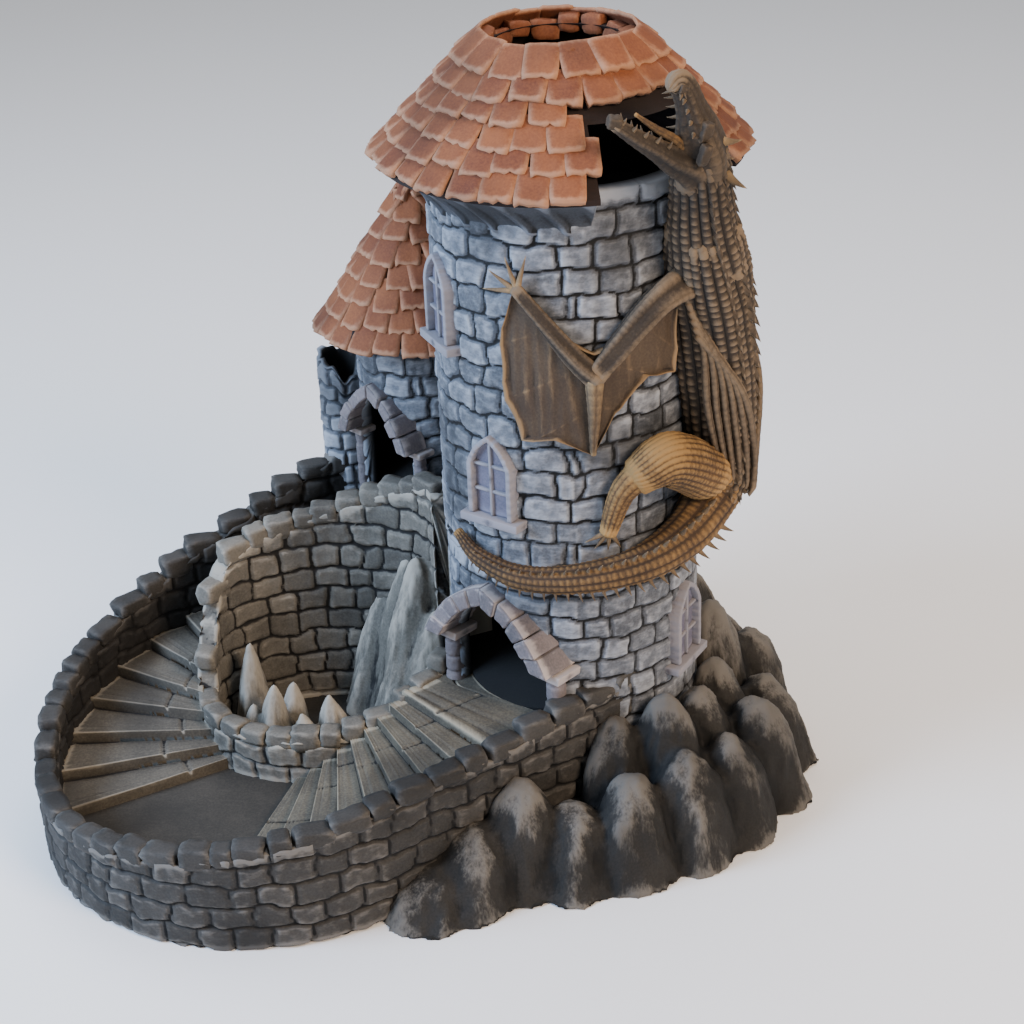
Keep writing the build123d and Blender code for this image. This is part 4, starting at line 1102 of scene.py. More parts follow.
def column_pair(name, centre, wall_radius, bearing, door, shaft_radius, foot, spring, capital, reach, paint):
    """Two thin columns of stacked drums, each with a slab capital on top."""
    points, faces = [], []
    for side in (-1, 1):
        across = side * (door / 2 + shaft_radius)
        out = sqrt(wall_radius**2 - across**2) + 0.27 * shaft_radius + 0.2
        middle = on_wall(centre, out, bearing, across, 0)[:2]
        heights = steps_between(foot, spring - capital, 0.6)
        base, count = len(points), 28
        for z in heights:
            share = (z - foot) / (spring - capital - foot)
            joint = max(0.0, 1 - abs((share * 3) % 1.0 - 0.5) * (spring - capital - foot) / 3 / 0.7)
            swelling = 1.0 - 0.16 * joint + 0.10 * max(0.0, 1 - share * 8)
            for i in range(count):
                angle = 2 * pi * i / count
                pitted = noise.noise(Vector((cos(angle) * 2, sin(angle) * 2, z * 0.5)))
                r = shaft_radius * swelling * (1 + 0.05 * pitted)
                points.append((middle[0] + r * cos(angle), middle[1] + r * sin(angle), z))
        for row in range(len(heights) - 1):
            for i in range(count):
                j = (i + 1) % count
                a = base + row * count
                faces.append((a + i, a + j, a + count + j, a + count + i))
        faces.append(tuple(base + i for i in range(count - 1, -1, -1)))
        faces.append(tuple(base + (len(heights) - 1) * count + i for i in range(count)))
        half = 1.75 * shaft_radius
        slab = [(across - half, spring - capital), (across + half, spring - capital),
                (across + half * 1.08, spring - 0.2), (across - half * 1.08, spring - 0.2)]
        prism_block(points, faces, centre, bearing, slab, out - reach, out + reach)
    return hewn_piece(name, points, faces, paint, 0.6, 1, 0.2)


main_columns = column_pair("main_door_column_drums", main_axis, lower_radius, door_bearing, door_width,
                           column_radius, door_sill, door_spring, capital_height, 5.0, arch_paint)
fasten(main_columns, "base", "dressed_stone", "main_door_columns")

window_width = 15.5
window_height = 25.5
window_bar = 1.8
window_sill = 2.6
window_stands_out = 2.4
window_spring = 0.62 * window_height


def with_jambs(outline, count=6):
    """The same arch outline with its two upright sides divided evenly."""
    right = [(outline[0][0], outline[0][1] + (outline[1][1] - outline[0][1]) * i / count)
             for i in range(count)]
    return right + outline[1:-1] + [(-x, z) for x, z in right[::-1]]


def window(name, wall_radius, bearing, foot, body):
    """One pointed window: ribbed frame, glazing bars, slab sill, and the panes behind them."""
    outer = arch_outline(window_width, window_spring, window_height, 0.0)
    inner = arch_outline(window_width - 2 * window_bar, window_spring, window_height - window_bar, 0.0)
    outer = [(x, z + foot) for x, z in with_jambs(outer)]
    inner = [(x, z + foot) for x, z in with_jambs(inner)]
    points, faces = [], []
    for i in range(len(outer) - 1):
        prism_block(points, faces, main_axis, bearing, [outer[i], outer[i + 1], inner[i + 1], inner[i]],
                    wall_radius - 3.0, wall_radius + window_stands_out)
    frame_ring = mesh_piece(f"{name}_ring", points, faces)
    merge_close(frame_ring)
    bar = 0.6 * window_bar
    bars, bar_faces = [], []
    top = window_height - window_bar + foot
    prism_block(bars, bar_faces, main_axis, bearing,
                [(-bar / 2, foot), (bar / 2, foot), (bar / 2, top), (-bar / 2, top)],
                wall_radius - 3.0, wall_radius + 1.5)
    half = window_width / 2 - 0.4
    for height in (window_spring / 2 + foot, window_spring + foot):
        prism_block(bars, bar_faces, main_axis, bearing,
                    [(-half, height - bar / 2), (half, height - bar / 2), (half, height + bar / 2),
                     (-half, height + bar / 2)],
                    wall_radius - 3.0, wall_radius + 1.3)
    sill_half = window_width / 2 + window_stands_out
    prism_block(bars, bar_faces, main_axis, bearing,
                [(-sill_half, foot - window_sill), (sill_half, foot - window_sill), (sill_half, foot),
                 (-sill_half, foot)],
                wall_radius - 4.0, wall_radius + window_stands_out + 1.0)
    base = len(frame_ring.data.vertices)
    points = [tuple(c / MM for c in v.co) for v in frame_ring.data.vertices] + bars
    faces = [tuple(p.vertices) for p in frame_ring.data.polygons]
    faces += [tuple(i + base for i in f) for f in bar_faces]
    bpy.data.objects.remove(frame_ring)
    frame_piece = hewn_piece(f"{name}_frame_stone", points, faces, frame_paint, 0.45, 1, 0.12)
    fasten(frame_piece, body, "window_frame", f"{name}_frame")
    across = steps_between(-window_width / 2 + 0.6, window_width / 2 - 0.6, 0.8)
    plate = []
    for x in across:
        bulge = sqrt((wall_radius + 0.5) ** 2 - x * x)
        limit = window_height - 0.8
        share = abs(x) / (window_width / 2)
        top_here = window_spring + (limit - window_spring) * (1 - share) ** 0.8
        plate.append([on_wall(main_axis, bulge, bearing, x, foot + top_here * i / 24) for i in range(25)])
    back = [[on_wall(main_axis, sqrt((wall_radius + 0.5) ** 2 - x * x) - 2.0, bearing, x, p[2]) for p in line]
            for x, line in zip(across, plate)]
    panes = shell_between(f"{name}_panes", plate, back)
    run_tree(panes, masks, {"Paint": pane_paint})
    fasten(panes, body, "window_pane", f"{name}_pane")


def merge_close(piece):
    """Merges doubled points and removes the walls left between joined blocks."""
    working = bmesh.new()
    working.from_mesh(piece.data)
    bmesh.ops.remove_doubles(working, verts=working.verts, dist=0.01 * MM)
    seen = {}
    for face in working.faces:
        seen.setdefault(frozenset(v.index for v in face.verts), []).append(face)
    twice = [face for same in seen.values() if len(same) > 1 for face in same]
    bmesh.ops.delete(working, geom=twice, context="FACES_ONLY")
    working.to_mesh(piece.data)
    working.free()


def shell_between(name, front, back):
    """A closed plate between two grids of points of the same size."""
    rows, columns = len(front), len(front[0])
    points = [p for line in front for p in line] + [p for line in back for p in line]
    below = rows * columns
    faces = []
    for i in range(rows - 1):
        for j in range(columns - 1):
            a = i * columns + j
            b, c, d = a + 1, a + columns + 1, a + columns
            faces += [(a, b, c, d), (below + d, below + c, below + b, below + a)]
    rim = list(range(columns - 1)) + [i * columns + columns - 1 for i in range(rows - 1)]
    rim += [(rows - 1) * columns + j for j in range(columns - 1, 0, -1)]
    rim += [i * columns for i in range(rows - 1, 0, -1)]
    faces += [(b, a, below + a, below + b) for a, b in zip(rim, rim[1:] + rim[:1])]
    piece = mesh_piece(name, points, faces)
    recalculate(piece)
    return piece


upper_radius = 38.6
window("lower_window", lower_radius, 59.0, 50.0, "base")
window("front_window", upper_radius, -37.0, 106.0, "tower_upper")
window("left_window", upper_radius, -67.0, 155.5, "tower_upper")

# ---- small tower, its door, and the ruined turret -----------------------------------------------
# The small tower is cast like the main one, with its own door on the long flight's landing.
# The turret is what is left of a stair tower: a thin tube, broken off at the top.

small_wall = 3.5
small_top = small_high[2]
small_door_bearing = -47.0
small_door_width = 24.5
small_door_spring = 98.5
small_door_apex = 114.5
small_tower = turned_piece("small_tower_stones", small_centre,
                           drum_profile(small_radius, small_radius - small_wall, 0.0, small_top), 190)
run_tree(small_tower, carving, {"Paint": tower_paint, "Stone length": 10.5, "Course height": 7.2,
                                "Seed": 11.0,
                                "Joint width": 0.9, "Joint depth": 0.9, "Stone roughness": 1.0})
cut_opening(small_tower, small_centre, small_door_bearing,
            arch_outline(small_door_width, small_door_spring, small_door_apex, small_sill - 1), 9.0, 40.0)
darken_inside(small_tower, small_centre, small_radius)
run_tree(small_tower, masks, {"Paint": tower_paint})
fasten(small_tower, "base", "tower_stone", "small_tower_drum")
small_arch = arch_stones("small_door_arch_stones", small_centre, small_door_bearing, small_door_width,
                         small_door_spring, small_door_apex, 0.7 * arch_band, small_radius - 7,
                         small_radius + 0.8 * arch_stands_out, 4, arch_paint)
fasten(small_arch, "base", "dressed_stone", "small_door_arch")
small_columns = column_pair("small_door_column_drums", small_centre, small_radius, small_door_bearing,
                            small_door_width, 0.7 * column_radius, small_sill, small_door_spring,
                            0.8 * capital_height, 3.4, arch_paint)
fasten(small_columns, "base", "dressed_stone", "small_door_columns")

turret_radius = (turret_high[0] - turret_low[0]) / 2
turret_bore = turret_radius - 2.0
turret_floor = 96.0
turret_profile = [(turret_radius, z, 1.0) for z in steps_between(0.0, turret_high[2], 0.7)]
# the bore and the floor inside the turret are marked -1, which the paint turns near black: painted shade
turret_profile += [(turret_bore, z, -1.0) for z in steps_between(turret_high[2], turret_floor, 1.5)]
turret_profile += [(0.05, turret_floor, -1.0), (0.05, 0.0, -1.0)]
turret = turned_piece("ruined_turret_stones", turret_centre, turret_profile, 76)
for vert in turret.data.vertices:
    if vert.co.z > (turret_floor + 2) * MM:
        angle = atan2(vert.co.x / MM - turret_centre[0], turret_centre[1] - vert.co.y / MM)
        broken = 6.5 * max(0.0, cos(angle - 0.35)) + 2.0 * sin(3.3 * angle) + 1.0 * sin(8.1 * angle)
        share = (vert.co.z / MM - turret_floor - 2) / (turret_high[2] - turret_floor - 2)
        vert.co.z -= max(0.0, broken) * share * MM
run_tree(turret, carving, {"Paint": tower_paint, "Stone length": 8.5, "Course height": 6.2, "Seed": 21.0,
                           "Joint width": 0.9, "Joint depth": 0.8, "Stone roughness": 0.6})
run_tree(turret, masks, {"Paint": tower_paint})
fasten(turret, "base", "tower_stone", "ruined_turret")


# ---- floor, ramps and baffles: smooth cast faces ---------------------------------------------
# Dice slide on these, so they are cast smooth.  The ramps and baffles are painted near black; the floor is
# washed and dry-brushed.

slide_paint = brush_paint("dark_washed_resin", "#070707", "#131313", "#1b1b1a", "#2c2b2a",
                          (3.0, 3.0, 3.0), 0.6)
floor_paint = brush_paint("court_floor_drybrushed", "#0d0d0c", "#2c2a26", "#433f38", "#777166",
                          (6.0, 1.5, 1.5), 1.2, 0.2)
for node, paint in (("court_slab", floor_paint), ("exit_ramp", slide_paint),
                    ("small_tower_ramp", slide_paint),
                    ("lower_baffle", slide_paint), ("upper_baffle", slide_paint)):
    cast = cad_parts[node]
    cast.data.materials.clear()
    cast.data.materials.append(paint)


# ---- main tower, upper drum and the corbel under the eaves ------------------------------------
# The upper drum lifts off the lower.  Under the eaves it swells out in a smooth dark bowl with
# slanting ribs, and the bowl is missing where the dragon has torn the roof away.

corbel_low, corbel_high = box_mm("corbel_ring")
upper_drum = turned_piece("upper_drum_stones", main_axis,
                          drum_profile(upper_radius, upper_radius - 4.6, seam_height + 0.4,
                                       corbel_high[2]), 330)
run_tree(upper_drum, carving, {"Paint": tower_paint, "Stone length": 11.5, "Course height": 7.6, "Seed": 31.0,
                               "Joint width": 0.95, "Joint depth": 1.0, "Stone roughness": 1.1})
run_tree(upper_drum, masks, {"Paint": tower_paint})
fasten(upper_drum, "tower_upper", "tower_stone", "upper_drum")

notch_from = 9.0
notch_to = 64.0
corbel_reach = 49.0


def sector(name, centre, profile, first, last, count):
    """A closed body turned through part of a circle; the profile gives radius, height and rib depth."""
    points = []
    rows = len(profile)
    for i in range(count + 1):
        bearing = first + (last - first) * i / count
        for k, (radius, height, rib) in enumerate(profile):
            slant = 0.9 * k
            wave = max(0.0, cos(radians(bearing * 24 + slant * 20))) ** 2
            points.append((*at(centre, radius + rib * wave, bearing), height))
    faces = []
    for i in range(count):
        for j in range(rows):
            k = (j + 1) % rows
            faces.append((i * rows + j, i * rows + k, (i + 1) * rows + k, (i + 1) * rows + j))
    faces += [tuple(range(rows)), tuple(count * rows + j for j in range(rows - 1, -1, -1))]
    piece = mesh_piece(name, points, faces)
    recalculate(piece)
    return piece


bowl = []
for k in range(15):
    t = k / 14
    bowl.append((upper_radius - 0.6 + (corbel_reach - upper_radius) * t ** 1.6, corbel_low[2] + 0.2
                 + (corbel_high[2] - corbel_low[2] - 0.4) * t, 1.1))
bowl += [(corbel_reach - 3.0, corbel_high[2] - 0.2, 0.0), (upper_radius - 2.0, corbel_high[2] - 0.2, 0.0),
         (upper_radius - 2.0, corbel_low[2] + 0.2, 0.0)]
corbel = sector("corbel_bowl", main_axis, bowl, notch_to, notch_from + 360, 700)
# Smooth dark stone under the eaves.
corbel_paint = brush_paint("dark_smooth_stone", "#101113", "#2f3237", "#454a52", "#7d848f",
                           (1.0, 1.0, 6.0), 0.9, 0.4)
run_tree(corbel, masks, {"Paint": corbel_paint, "Fine passes": 3, "Broad passes": 20, "Gain": 1.5})
fasten(corbel, "tower_upper", "tower_stone", "corbel_ring")

# ---- roofs: courses of split shakes on a cast cone ---------------------------------------------
# Each course overlaps the one below it, its thick lower ends uneven.  They are terracotta,
# washed dark between and brushed lighter towards their ends.

roof_paint = brush_paint("terracotta_drybrushed", "#120907", "#5f3320", "#86502f", "#b98c6c", (1.2, 1.2, 4.0),
                         1.0, 0.40, 0.65, 0.35)
# Near-black under coat that shows between the shakes.
roof_under_paint = brush_paint("terracotta_under_coat", "#0a0504", "#170c08", "#24130d", "#3a2118",
                               (2.0, 2.0, 2.0))


def shake(name, seed):
    """One shake about a millimetre on each side: thick split lower end, thin upper end."""
    points, faces = [], []
    across, up = 7, 7
    for layer in (1, 0):
        for j in range(up + 1):
            for i in range(across + 1):
                x, y = i / across - 0.5, j / up
                ragged = 0.09 * noise.noise(Vector((x * 5, seed * 3.1, 0))) if j == 0 else 0.0
                wave = 0.10 * noise.noise(Vector((x * 6, y * 2.5, seed * 5.7)))
                groove = -0.22 if i in (0, across) else 0.0
                height = (0.95 - 0.62 * y + wave + groove) if layer else -0.05
                points.append((x * (1.0 - 0.06 * (j == 0)), y + ragged, height))
    row = across + 1
    below = row * (up + 1)
    for j in range(up):
        for i in range(across):
            a, b, c, d = j * row + i, j * row + i + 1, (j + 1) * row + i + 1, (j + 1) * row + i
            faces += [(a, b, c, d), (below + d, below + c, below + b, below + a)]
    rim = list(range(across)) + [j * row + across for j in range(up)]
    rim += [up * row + i for i in range(across, 0, -1)] + [j * row for j in range(up, 0, -1)]
    faces += [(b, a, below + a, below + b) for a, b in zip(rim, rim[1:] + rim[:1])]
    piece = mesh_piece(name, points, faces)
    recalculate(piece)
    return piece


shake_kit = bpy.data.collections.new("split_shakes")
for seed in range(6):
    one = shake(f"split_shake_{seed}", seed)
    bpy.context.scene.collection.objects.unlink(one)
    shake_kit.objects.link(one)


def shake_courses(centre, eave, eave_height, top, top_height, exposed, width, seed, missing=None, lift=0.7):
    """Places for the shakes on a cone: middle of the lower end, turn, and size in millimetres."""
    dice = np.random.default_rng(seed)
    slope = hypot(eave - top, top_height - eave_height)
    rows = round(slope / exposed)
    places = []
    for row in range(rows):
        t = row * exposed / slope
        radius = eave + (top - eave) * t
        height = eave_height + (top_height - eave_height) * t
        count = max(5, round(2 * pi * radius / width))
        for i in range(count):
            bearing = 360 * (i + 0.5 * (row % 2) + dice.uniform(-0.1, 0.1)) / count
            thick = dice.uniform(1.8, 2.9)
            drop = dice.uniform(-0.9, 0.9)
            tilt = dice.uniform(-0.05, 0.05)
            if missing and missing(bearing % 360, height):
                continue
            angle = radians(bearing)
            outward = Vector((sin(angle), -cos(angle), 0))
            along = Vector((cos(angle), sin(angle), 0))
            upslope = (outward * (top - eave) + Vector((0, 0, top_height - eave_height))) / slope
            normal = along.cross(upslope).normalized()
            turned = along * cos(tilt) + upslope * sin(tilt)
            turn = Matrix((turned, normal.cross(turned), normal)).transposed().to_euler()
            place = Vector((*centre, 0)) + outward * radius + Vector((0, 0, height))
            place = place + upslope * drop + normal * lift
            places.append((tuple(place), tuple(turn), (2 * pi * radius / count * dice.uniform(0.94, 1.02),
                                                       1.55 * exposed, thick)))
    return places


def shakes_on(name, places, paint, seed):
    """A piece made of shakes, one at each place."""
    marks = mesh_piece(name, [middle for middle, _, _ in places], [])
    set_attribute(marks, "turn", "FLOAT_VECTOR", [turn for _, turn, _ in places])
    set_attribute(marks, "size", "FLOAT_VECTOR", [size for _, _, size in places])
    run_tree(marks, coping, {"Paint": paint, "Stones": shake_kit, "Seed": seed})
    return run_tree(marks, masks, {"Paint": paint, "Fine passes": 1, "Broad passes": 5, "Gain": 0.65})


roof_low, roof_high = box_mm("main_roof")
eave_radius = roof_high[0]
roof_rim_radius = 22.5
eave_height = roof_low[2]
roof_rim_height = roof_high[2]
notch_rise = 17.0


def torn_away(bearing, height):
    """Where the dragon has torn the roof open."""
    ragged = 2.5 * sin(height * 0.9)
    return notch_from - 2 + ragged < bearing < notch_to + ragged and height < eave_height + notch_rise


main_shakes = shakes_on("main_roof_shakes",
                        shake_courses(main_axis, eave_radius + 0.6, eave_height + 1.0, roof_rim_radius + 1.0,
                                      roof_rim_height, 7.0, 10.0, 12, torn_away), roof_paint, 12)
fasten(main_shakes, "main_roof", "roof_tile")
rim_places = []
dice = np.random.default_rng(7)
for i in range(17):
    bearing = 360 * (i + dice.uniform(-0.2, 0.2)) / 17
    rim_places.append(((*at(main_axis, roof_rim_radius - 1.5, bearing),
                        roof_rim_height + dice.uniform(-2.2, 0.2)),
                       (dice.uniform(-0.2, 0.2), dice.uniform(-0.2, 0.2), radians(bearing)),
                       (7.2 * dice.uniform(0.8, 1.1), 5.0, 5.5 * dice.uniform(0.7, 1.2))))
main_rim = stones_on("main_roof_broken_rim", rim_places, roof_paint, 5)
fasten(main_rim, "main_roof", "roof_tile")

small_roof_low, small_roof_high = box_mm("small_roof")
small_eave = (small_roof_high[0] - small_roof_low[0]) / 2
small_shakes = shakes_on("small_roof_shakes",
                         shake_courses(small_centre, small_eave + 0.4, small_roof_low[2] + 1.2, 0.8,
                                       small_roof_high[2], 7.1, 8.5, 15), roof_paint, 15)
fasten(small_shakes, "small_roof", "roof_tile")
finial = rough_block("small_roof_finial_cap", (4.5, 4.5, 5.0), 3.3)
finial.data.transform(Matrix.Translation(Vector((*small_centre, small_roof_high[2] - 1.0)) * MM))
run_tree(finial, masks, {"Paint": roof_paint, "Fine passes": 1, "Broad passes": 4, "Gain": 0.6})
fasten(finial, "small_roof", "roof_tile")
for node in ("main_roof", "small_roof"):
    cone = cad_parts[node]
    cone.data.materials.clear()
    cone.data.materials.append(roof_under_paint)

# ---- dragon: cast as one climbing beast, then dry-brushed bronze over brown ----------------------
# It climbs the right side of the tower and grips it with wings, legs and tail.  Its hide is
# rope-like rows of overlapping scales, with a crest of curved plates down its back.

hide_paint = brush_paint("bronze_brushed_hide", "#070504", "#2a1f15", "#493522", "#9c7848", (0.9, 0.9, 0.9),
                         0.8, 0.14, 0.75, 0.35)
neck_paint = brush_paint("grey_brown_hide", "#070605", "#272019", "#3f352a", "#84715a", (0.9, 0.9, 0.9),
                         0.8, 0.2, 0.7, 0.4)
thigh_paint = brush_paint("gold_brushed_hide", "#0a0604", "#3b2a19", "#64492a", "#ab854f", (0.7, 0.7, 0.7),
                          0.9, 0.10, 0.75, 0.2)
wing_paint = brush_paint("stretched_wing_skin", "#0c0806", "#3a2f25", "#524536", "#977d5c", (0.8, 0.8, 3.0),
                         0.9, 0.25, 0.7, 0.35)
# Horn and claws: dark roots and pale tips.
claw_paint = brush_paint("horn_and_claw", "#0d0907", "#44372a", "#64533f", "#b0946b", (0.8, 0.8, 2.0),
                         0.7, 0.2)


def limb_line(chain, step=0.7):
    """Smooth line through a chain of (bearing, radius out, height, thickness), in millimetres."""
    ends = [Vector((*at(main_axis, out, bearing), height, thick)) for bearing, out, height, thick in chain]
    ends = [ends[0] * 2 - ends[1], *ends, ends[-1] * 2 - ends[-2]]
    line = []
    for a, b, c, d in zip(ends, ends[1:], ends[2:], ends[3:]):
        count = max(2, round((c - b).xyz.length / step))
        for i in range(count):
            t = i / count
            line.append(0.5 * (2 * b + (c - a) * t + (2 * a - 5 * b + 4 * c - d) * t * t
                               + (3 * b - a - 3 * c + d) * t**3))
    line.append(ends[-2])
    return [(p.xyz, max(p.w, 0.3)) for p in line]


def limb_frames(line):
    """Along a line: each middle, its thickness, the way away from the tower, and the side way."""
    frames = []
    for i, (p, thick) in enumerate(line):
        ahead = (line[min(i + 1, len(line) - 1)][0] - line[max(i - 1, 0)][0]).normalized()
        out = Vector((p.x, p.y, 0)).normalized()
        side = ahead.cross(out).normalized()
        frames.append((p, thick, side.cross(ahead).normalized(), side, ahead))
    return frames


def scaly_limb(name, chain, paint, rows, scale_length, depth, around=88, flatten=1.0, step=0.6, tendon=0.0):
    """A tapering limb with rows of overlapping scales; rows is how many go round it."""
    frames = limb_frames(limb_line(chain, step))
    points, faces = [], []
    run = 0.0
    for k, (p, thick, out, side, ahead) in enumerate(frames):
        if k:
            run += (p - frames[k - 1][0]).length
        for i in range(around):
            angle = 2 * pi * i / around
            row = rows * i / around
            cord = abs(sin(pi * row)) ** 0.6
            bead = 1.0 - (run / scale_length + 0.5 * (int(row) % 2)) % 1.0
            r = thick * (0.97 + tendon * cos(4 * angle + run * 0.05))
            r += depth * (cord * (0.45 + 0.55 * bead) - 0.6)
            r += 0.05 * thick * noise.noise(p * 0.11 + Vector((cos(angle), sin(angle), 0)))
            points.append(tuple(p + out * (r * cos(angle) * flatten) + side * (r * sin(angle))))
    count = len(frames)
    for k in range(count - 1):
        for i in range(around):
            j = (i + 1) % around
            a = k * around
            faces.append((a + i, a + j, a + around + j, a + around + i))
    points += [tuple(frames[0][0] - frames[0][4] * 0.6 * frames[0][1]),
               tuple(frames[-1][0] + frames[-1][4] * 0.6 * frames[-1][1])]
    first, last = len(points) - 2, len(points) - 1
    for i in range(around):
        j = (i + 1) % around
        faces += [(first, j, i), (last, (count - 1) * around + i, (count - 1) * around + j)]
    piece = mesh_piece(name, points, faces)
    recalculate(piece)
    run_tree(piece, masks, {"Paint": paint, "Fine passes": 4, "Broad passes": 24, "Gain": 1.1})
    return piece


tail_chain = [(-56, 41.5, 97, 1.4), (-42, 42.2, 92.5, 2.6), (-22, 42.5, 89.5, 3.8), (2, 43.0, 90.5, 4.6),
              (26, 44.0, 93, 5.6), (46, 45.0, 98, 7.0), (62, 46.0, 106, 8.6), (66, 46.3, 113, 9.6)]
torso_chain = [(60, 46.0, 103, 7.4), (65, 46.5, 111, 9.4), (67, 46.5, 119, 10.5), (66, 46.0, 138, 12.0),
               (63, 45.5, 156, 12.5), (58, 45.5, 172, 12.5), (52, 47.0, 185, 11.0), (49, 48.0, 191, 10.0)]
neck_chain = [(56, 46.0, 178, 11.6), (52, 47.0, 185, 11.0), (47, 49.0, 196, 9.5),
              (43, 51.5, 206, 8.5), (40, 53.5, 214, 7.4)]
near_arm_chain = [(56, 44.0, 172, 7.0), (50, 44.0, 174, 6.0), (32, 43.5, 171, 4.4), (8, 43.0, 153, 3.2)]
near_forearm_chain = [(9, 43.0, 152, 3.2), (0, 42.5, 159, 2.8), (-21, 41.5, 178, 1.9)]
near_thigh_chain = [(58, 46.0, 112, 6.0), (52, 46.5, 116, 8.4), (34, 46.5, 125, 8.0), (22, 44.5, 121, 5.6)]
near_shin_chain = [(24, 44.5, 122, 4.8), (17, 43.5, 116, 3.8), (12, 42.5, 104, 2.6)]


def mirrored(chain, middle=65.0):
    """The same limb on the far side of the dragon."""
    return [(2 * middle - bearing, out, height, thick) for bearing, out, height, thick in chain]


tail = scaly_limb("dragon_tail_hide", tail_chain, hide_paint, 11, 1.8, 0.5)
fasten(tail, "tower_upper", "dragon_hide", "dragon_tail")
torso = scaly_limb("dragon_torso_hide", torso_chain, neck_paint, 22, 2.6, 1.15, around=176, tendon=0.05)
fasten(torso, "tower_upper", "dragon_hide", "dragon_torso")
neck = scaly_limb("dragon_neck_hide", neck_chain, neck_paint, 19, 2.6, 1.1, around=152, tendon=0.04)
fasten(neck, "tower_upper", "dragon_hide", "dragon_neck")
for side, turn in (("near", lambda chain: chain), ("far", mirrored)):
    upper_arm = scaly_limb(f"dragon_upper_arm_{side}", turn(near_arm_chain), neck_paint, 9, 1.8, 0.25, 72,
                           tendon=0.12)
    fasten(upper_arm, "tower_upper", "dragon_hide", f"dragon_arm_{side}")
    forearm = scaly_limb(f"dragon_forearm_{side}", turn(near_forearm_chain), neck_paint, 7, 1.6, 0.2, 56,
                         tendon=0.12)
    fasten(forearm, "tower_upper", "dragon_hide")
    thigh = scaly_limb(f"dragon_thigh_{side}", turn(near_thigh_chain), thigh_paint, 26, 1.5, 0.45, 130)
    fasten(thigh, "tower_upper", "dragon_hide", f"dragon_leg_{side}")
    shin = scaly_limb(f"dragon_shin_{side}", turn(near_shin_chain), thigh_paint, 12, 1.5, 0.35, 72)
    fasten(shin, "tower_upper", "dragon_hide")


# sinews fan from the armpit down the flank to the root of the tail
for side_name, turn in (("near", lambda chain: chain), ("far", mirrored)):
    for k in range(6):
        sinew_chain = [(44 + 0.4 * k, 46.0 + 0.5 * k, 172 - 2.4 * k, 1.3),
                       (48 + 1.8 * k, 49.0 + 1.5 * k, 157 - 3.0 * k, 1.2),
                       (50 + 2.7 * k, 49.5 + 1.7 * k, 138 - 3.0 * k, 1.1),
                       (55 + 2.2 * k, 50.5 + 1.4 * k, 120 - 2.5 * k, 0.9),
                       (60 + 1.2 * k, 51.0 + 0.8 * k, 107, 0.6)]
        sinew = scaly_limb(f"dragon_sinew_{side_name}_{k}", turn(sinew_chain), neck_paint, 3, 2.2, 0.3,
                           22, step=0.9)
        fasten(sinew, "tower_upper", "dragon_hide")


def spike(name, bend, flat=1.0):
    """One curved spike a millimetre long and wide: it rises along Z and leans along X."""
    points, faces = [], []
    rows, count = 6, 8
    for row in range(rows):
        t = row / rows
        r = 0.5 * (1 - t) ** 0.8
        for i in range(count):
            angle = 2 * pi * i / count
            points.append((r * cos(angle) + bend * t * t, r * flat * sin(angle), t))
    points += [(bend, 0.0, 1.0), (0.0, 0.0, -0.1)]
    for row in range(rows - 1):
        for i in range(count):
            j = (i + 1) % count
            faces.append((row * count + i, row * count + j, (row + 1) * count + j, (row + 1) * count + i))
    for i in range(count):
        j = (i + 1) % count
        faces += [((rows - 1) * count + i, (rows - 1) * count + j, rows * count), (j, i, rows * count + 1)]
    return mesh_piece(name, points, faces)


spike_kit = bpy.data.collections.new("curved_spikes")
plate_kit = bpy.data.collections.new("crest_plates")
for seed in range(6):
    for kit, bend, flat in ((spike_kit, 0.35 + 0.06 * seed, 1.0), (plate_kit, 0.45 + 0.05 * seed, 0.45)):
        one = spike(f"{kit.name}_{seed}", bend, flat)
        bpy.context.scene.collection.objects.unlink(one)
        kit.objects.link(one)


def turn_to(up, lean):
    """Turn that points Z along up and X towards lean."""
    z = up.normalized()
    x = (lean - z * lean.dot(z)).normalized()
    return tuple(Matrix((x, z.cross(x), z)).transposed().to_euler())


def spikes_on(name, places, kit, paint, seed, body="tower_upper"):
    """A piece made of spikes or plates, one at each place."""
    marks = mesh_piece(name, [middle for middle, _, _ in places], [])
    set_attribute(marks, "turn", "FLOAT_VECTOR", [turn for _, turn, _ in places])
    set_attribute(marks, "size", "FLOAT_VECTOR", [size for _, _, size in places])
    run_tree(marks, coping, {"Paint": paint, "Stones": kit, "Seed": seed})
    run_tree(marks, masks, {"Paint": paint, "Fine passes": 1, "Broad passes": 4, "Gain": 0.8})
    fasten(marks, body, "dragon_hide")


def along_limb(chain, spacing, angle, reach, length, width, lean, first=0.0, last=1.0):
    """Places for a row of spikes along a limb, at an angle round it from its back."""
    frames = limb_frames(limb_line(chain, 0.4))
    places, run = [], 0.0
    for k in range(1, len(frames)):
        run += (frames[k][0] - frames[k - 1][0]).length
        if run < spacing or not first <= k / len(frames) <= last:
            continue
        run = 0.0
        p, thick, out, side, ahead = frames[k]
        away = out * cos(angle) + side * sin(angle)
        places.append((tuple(p + away * thick * reach), turn_to(away, ahead * lean),
                       (width * thick, width * thick, length * thick)))
    return places


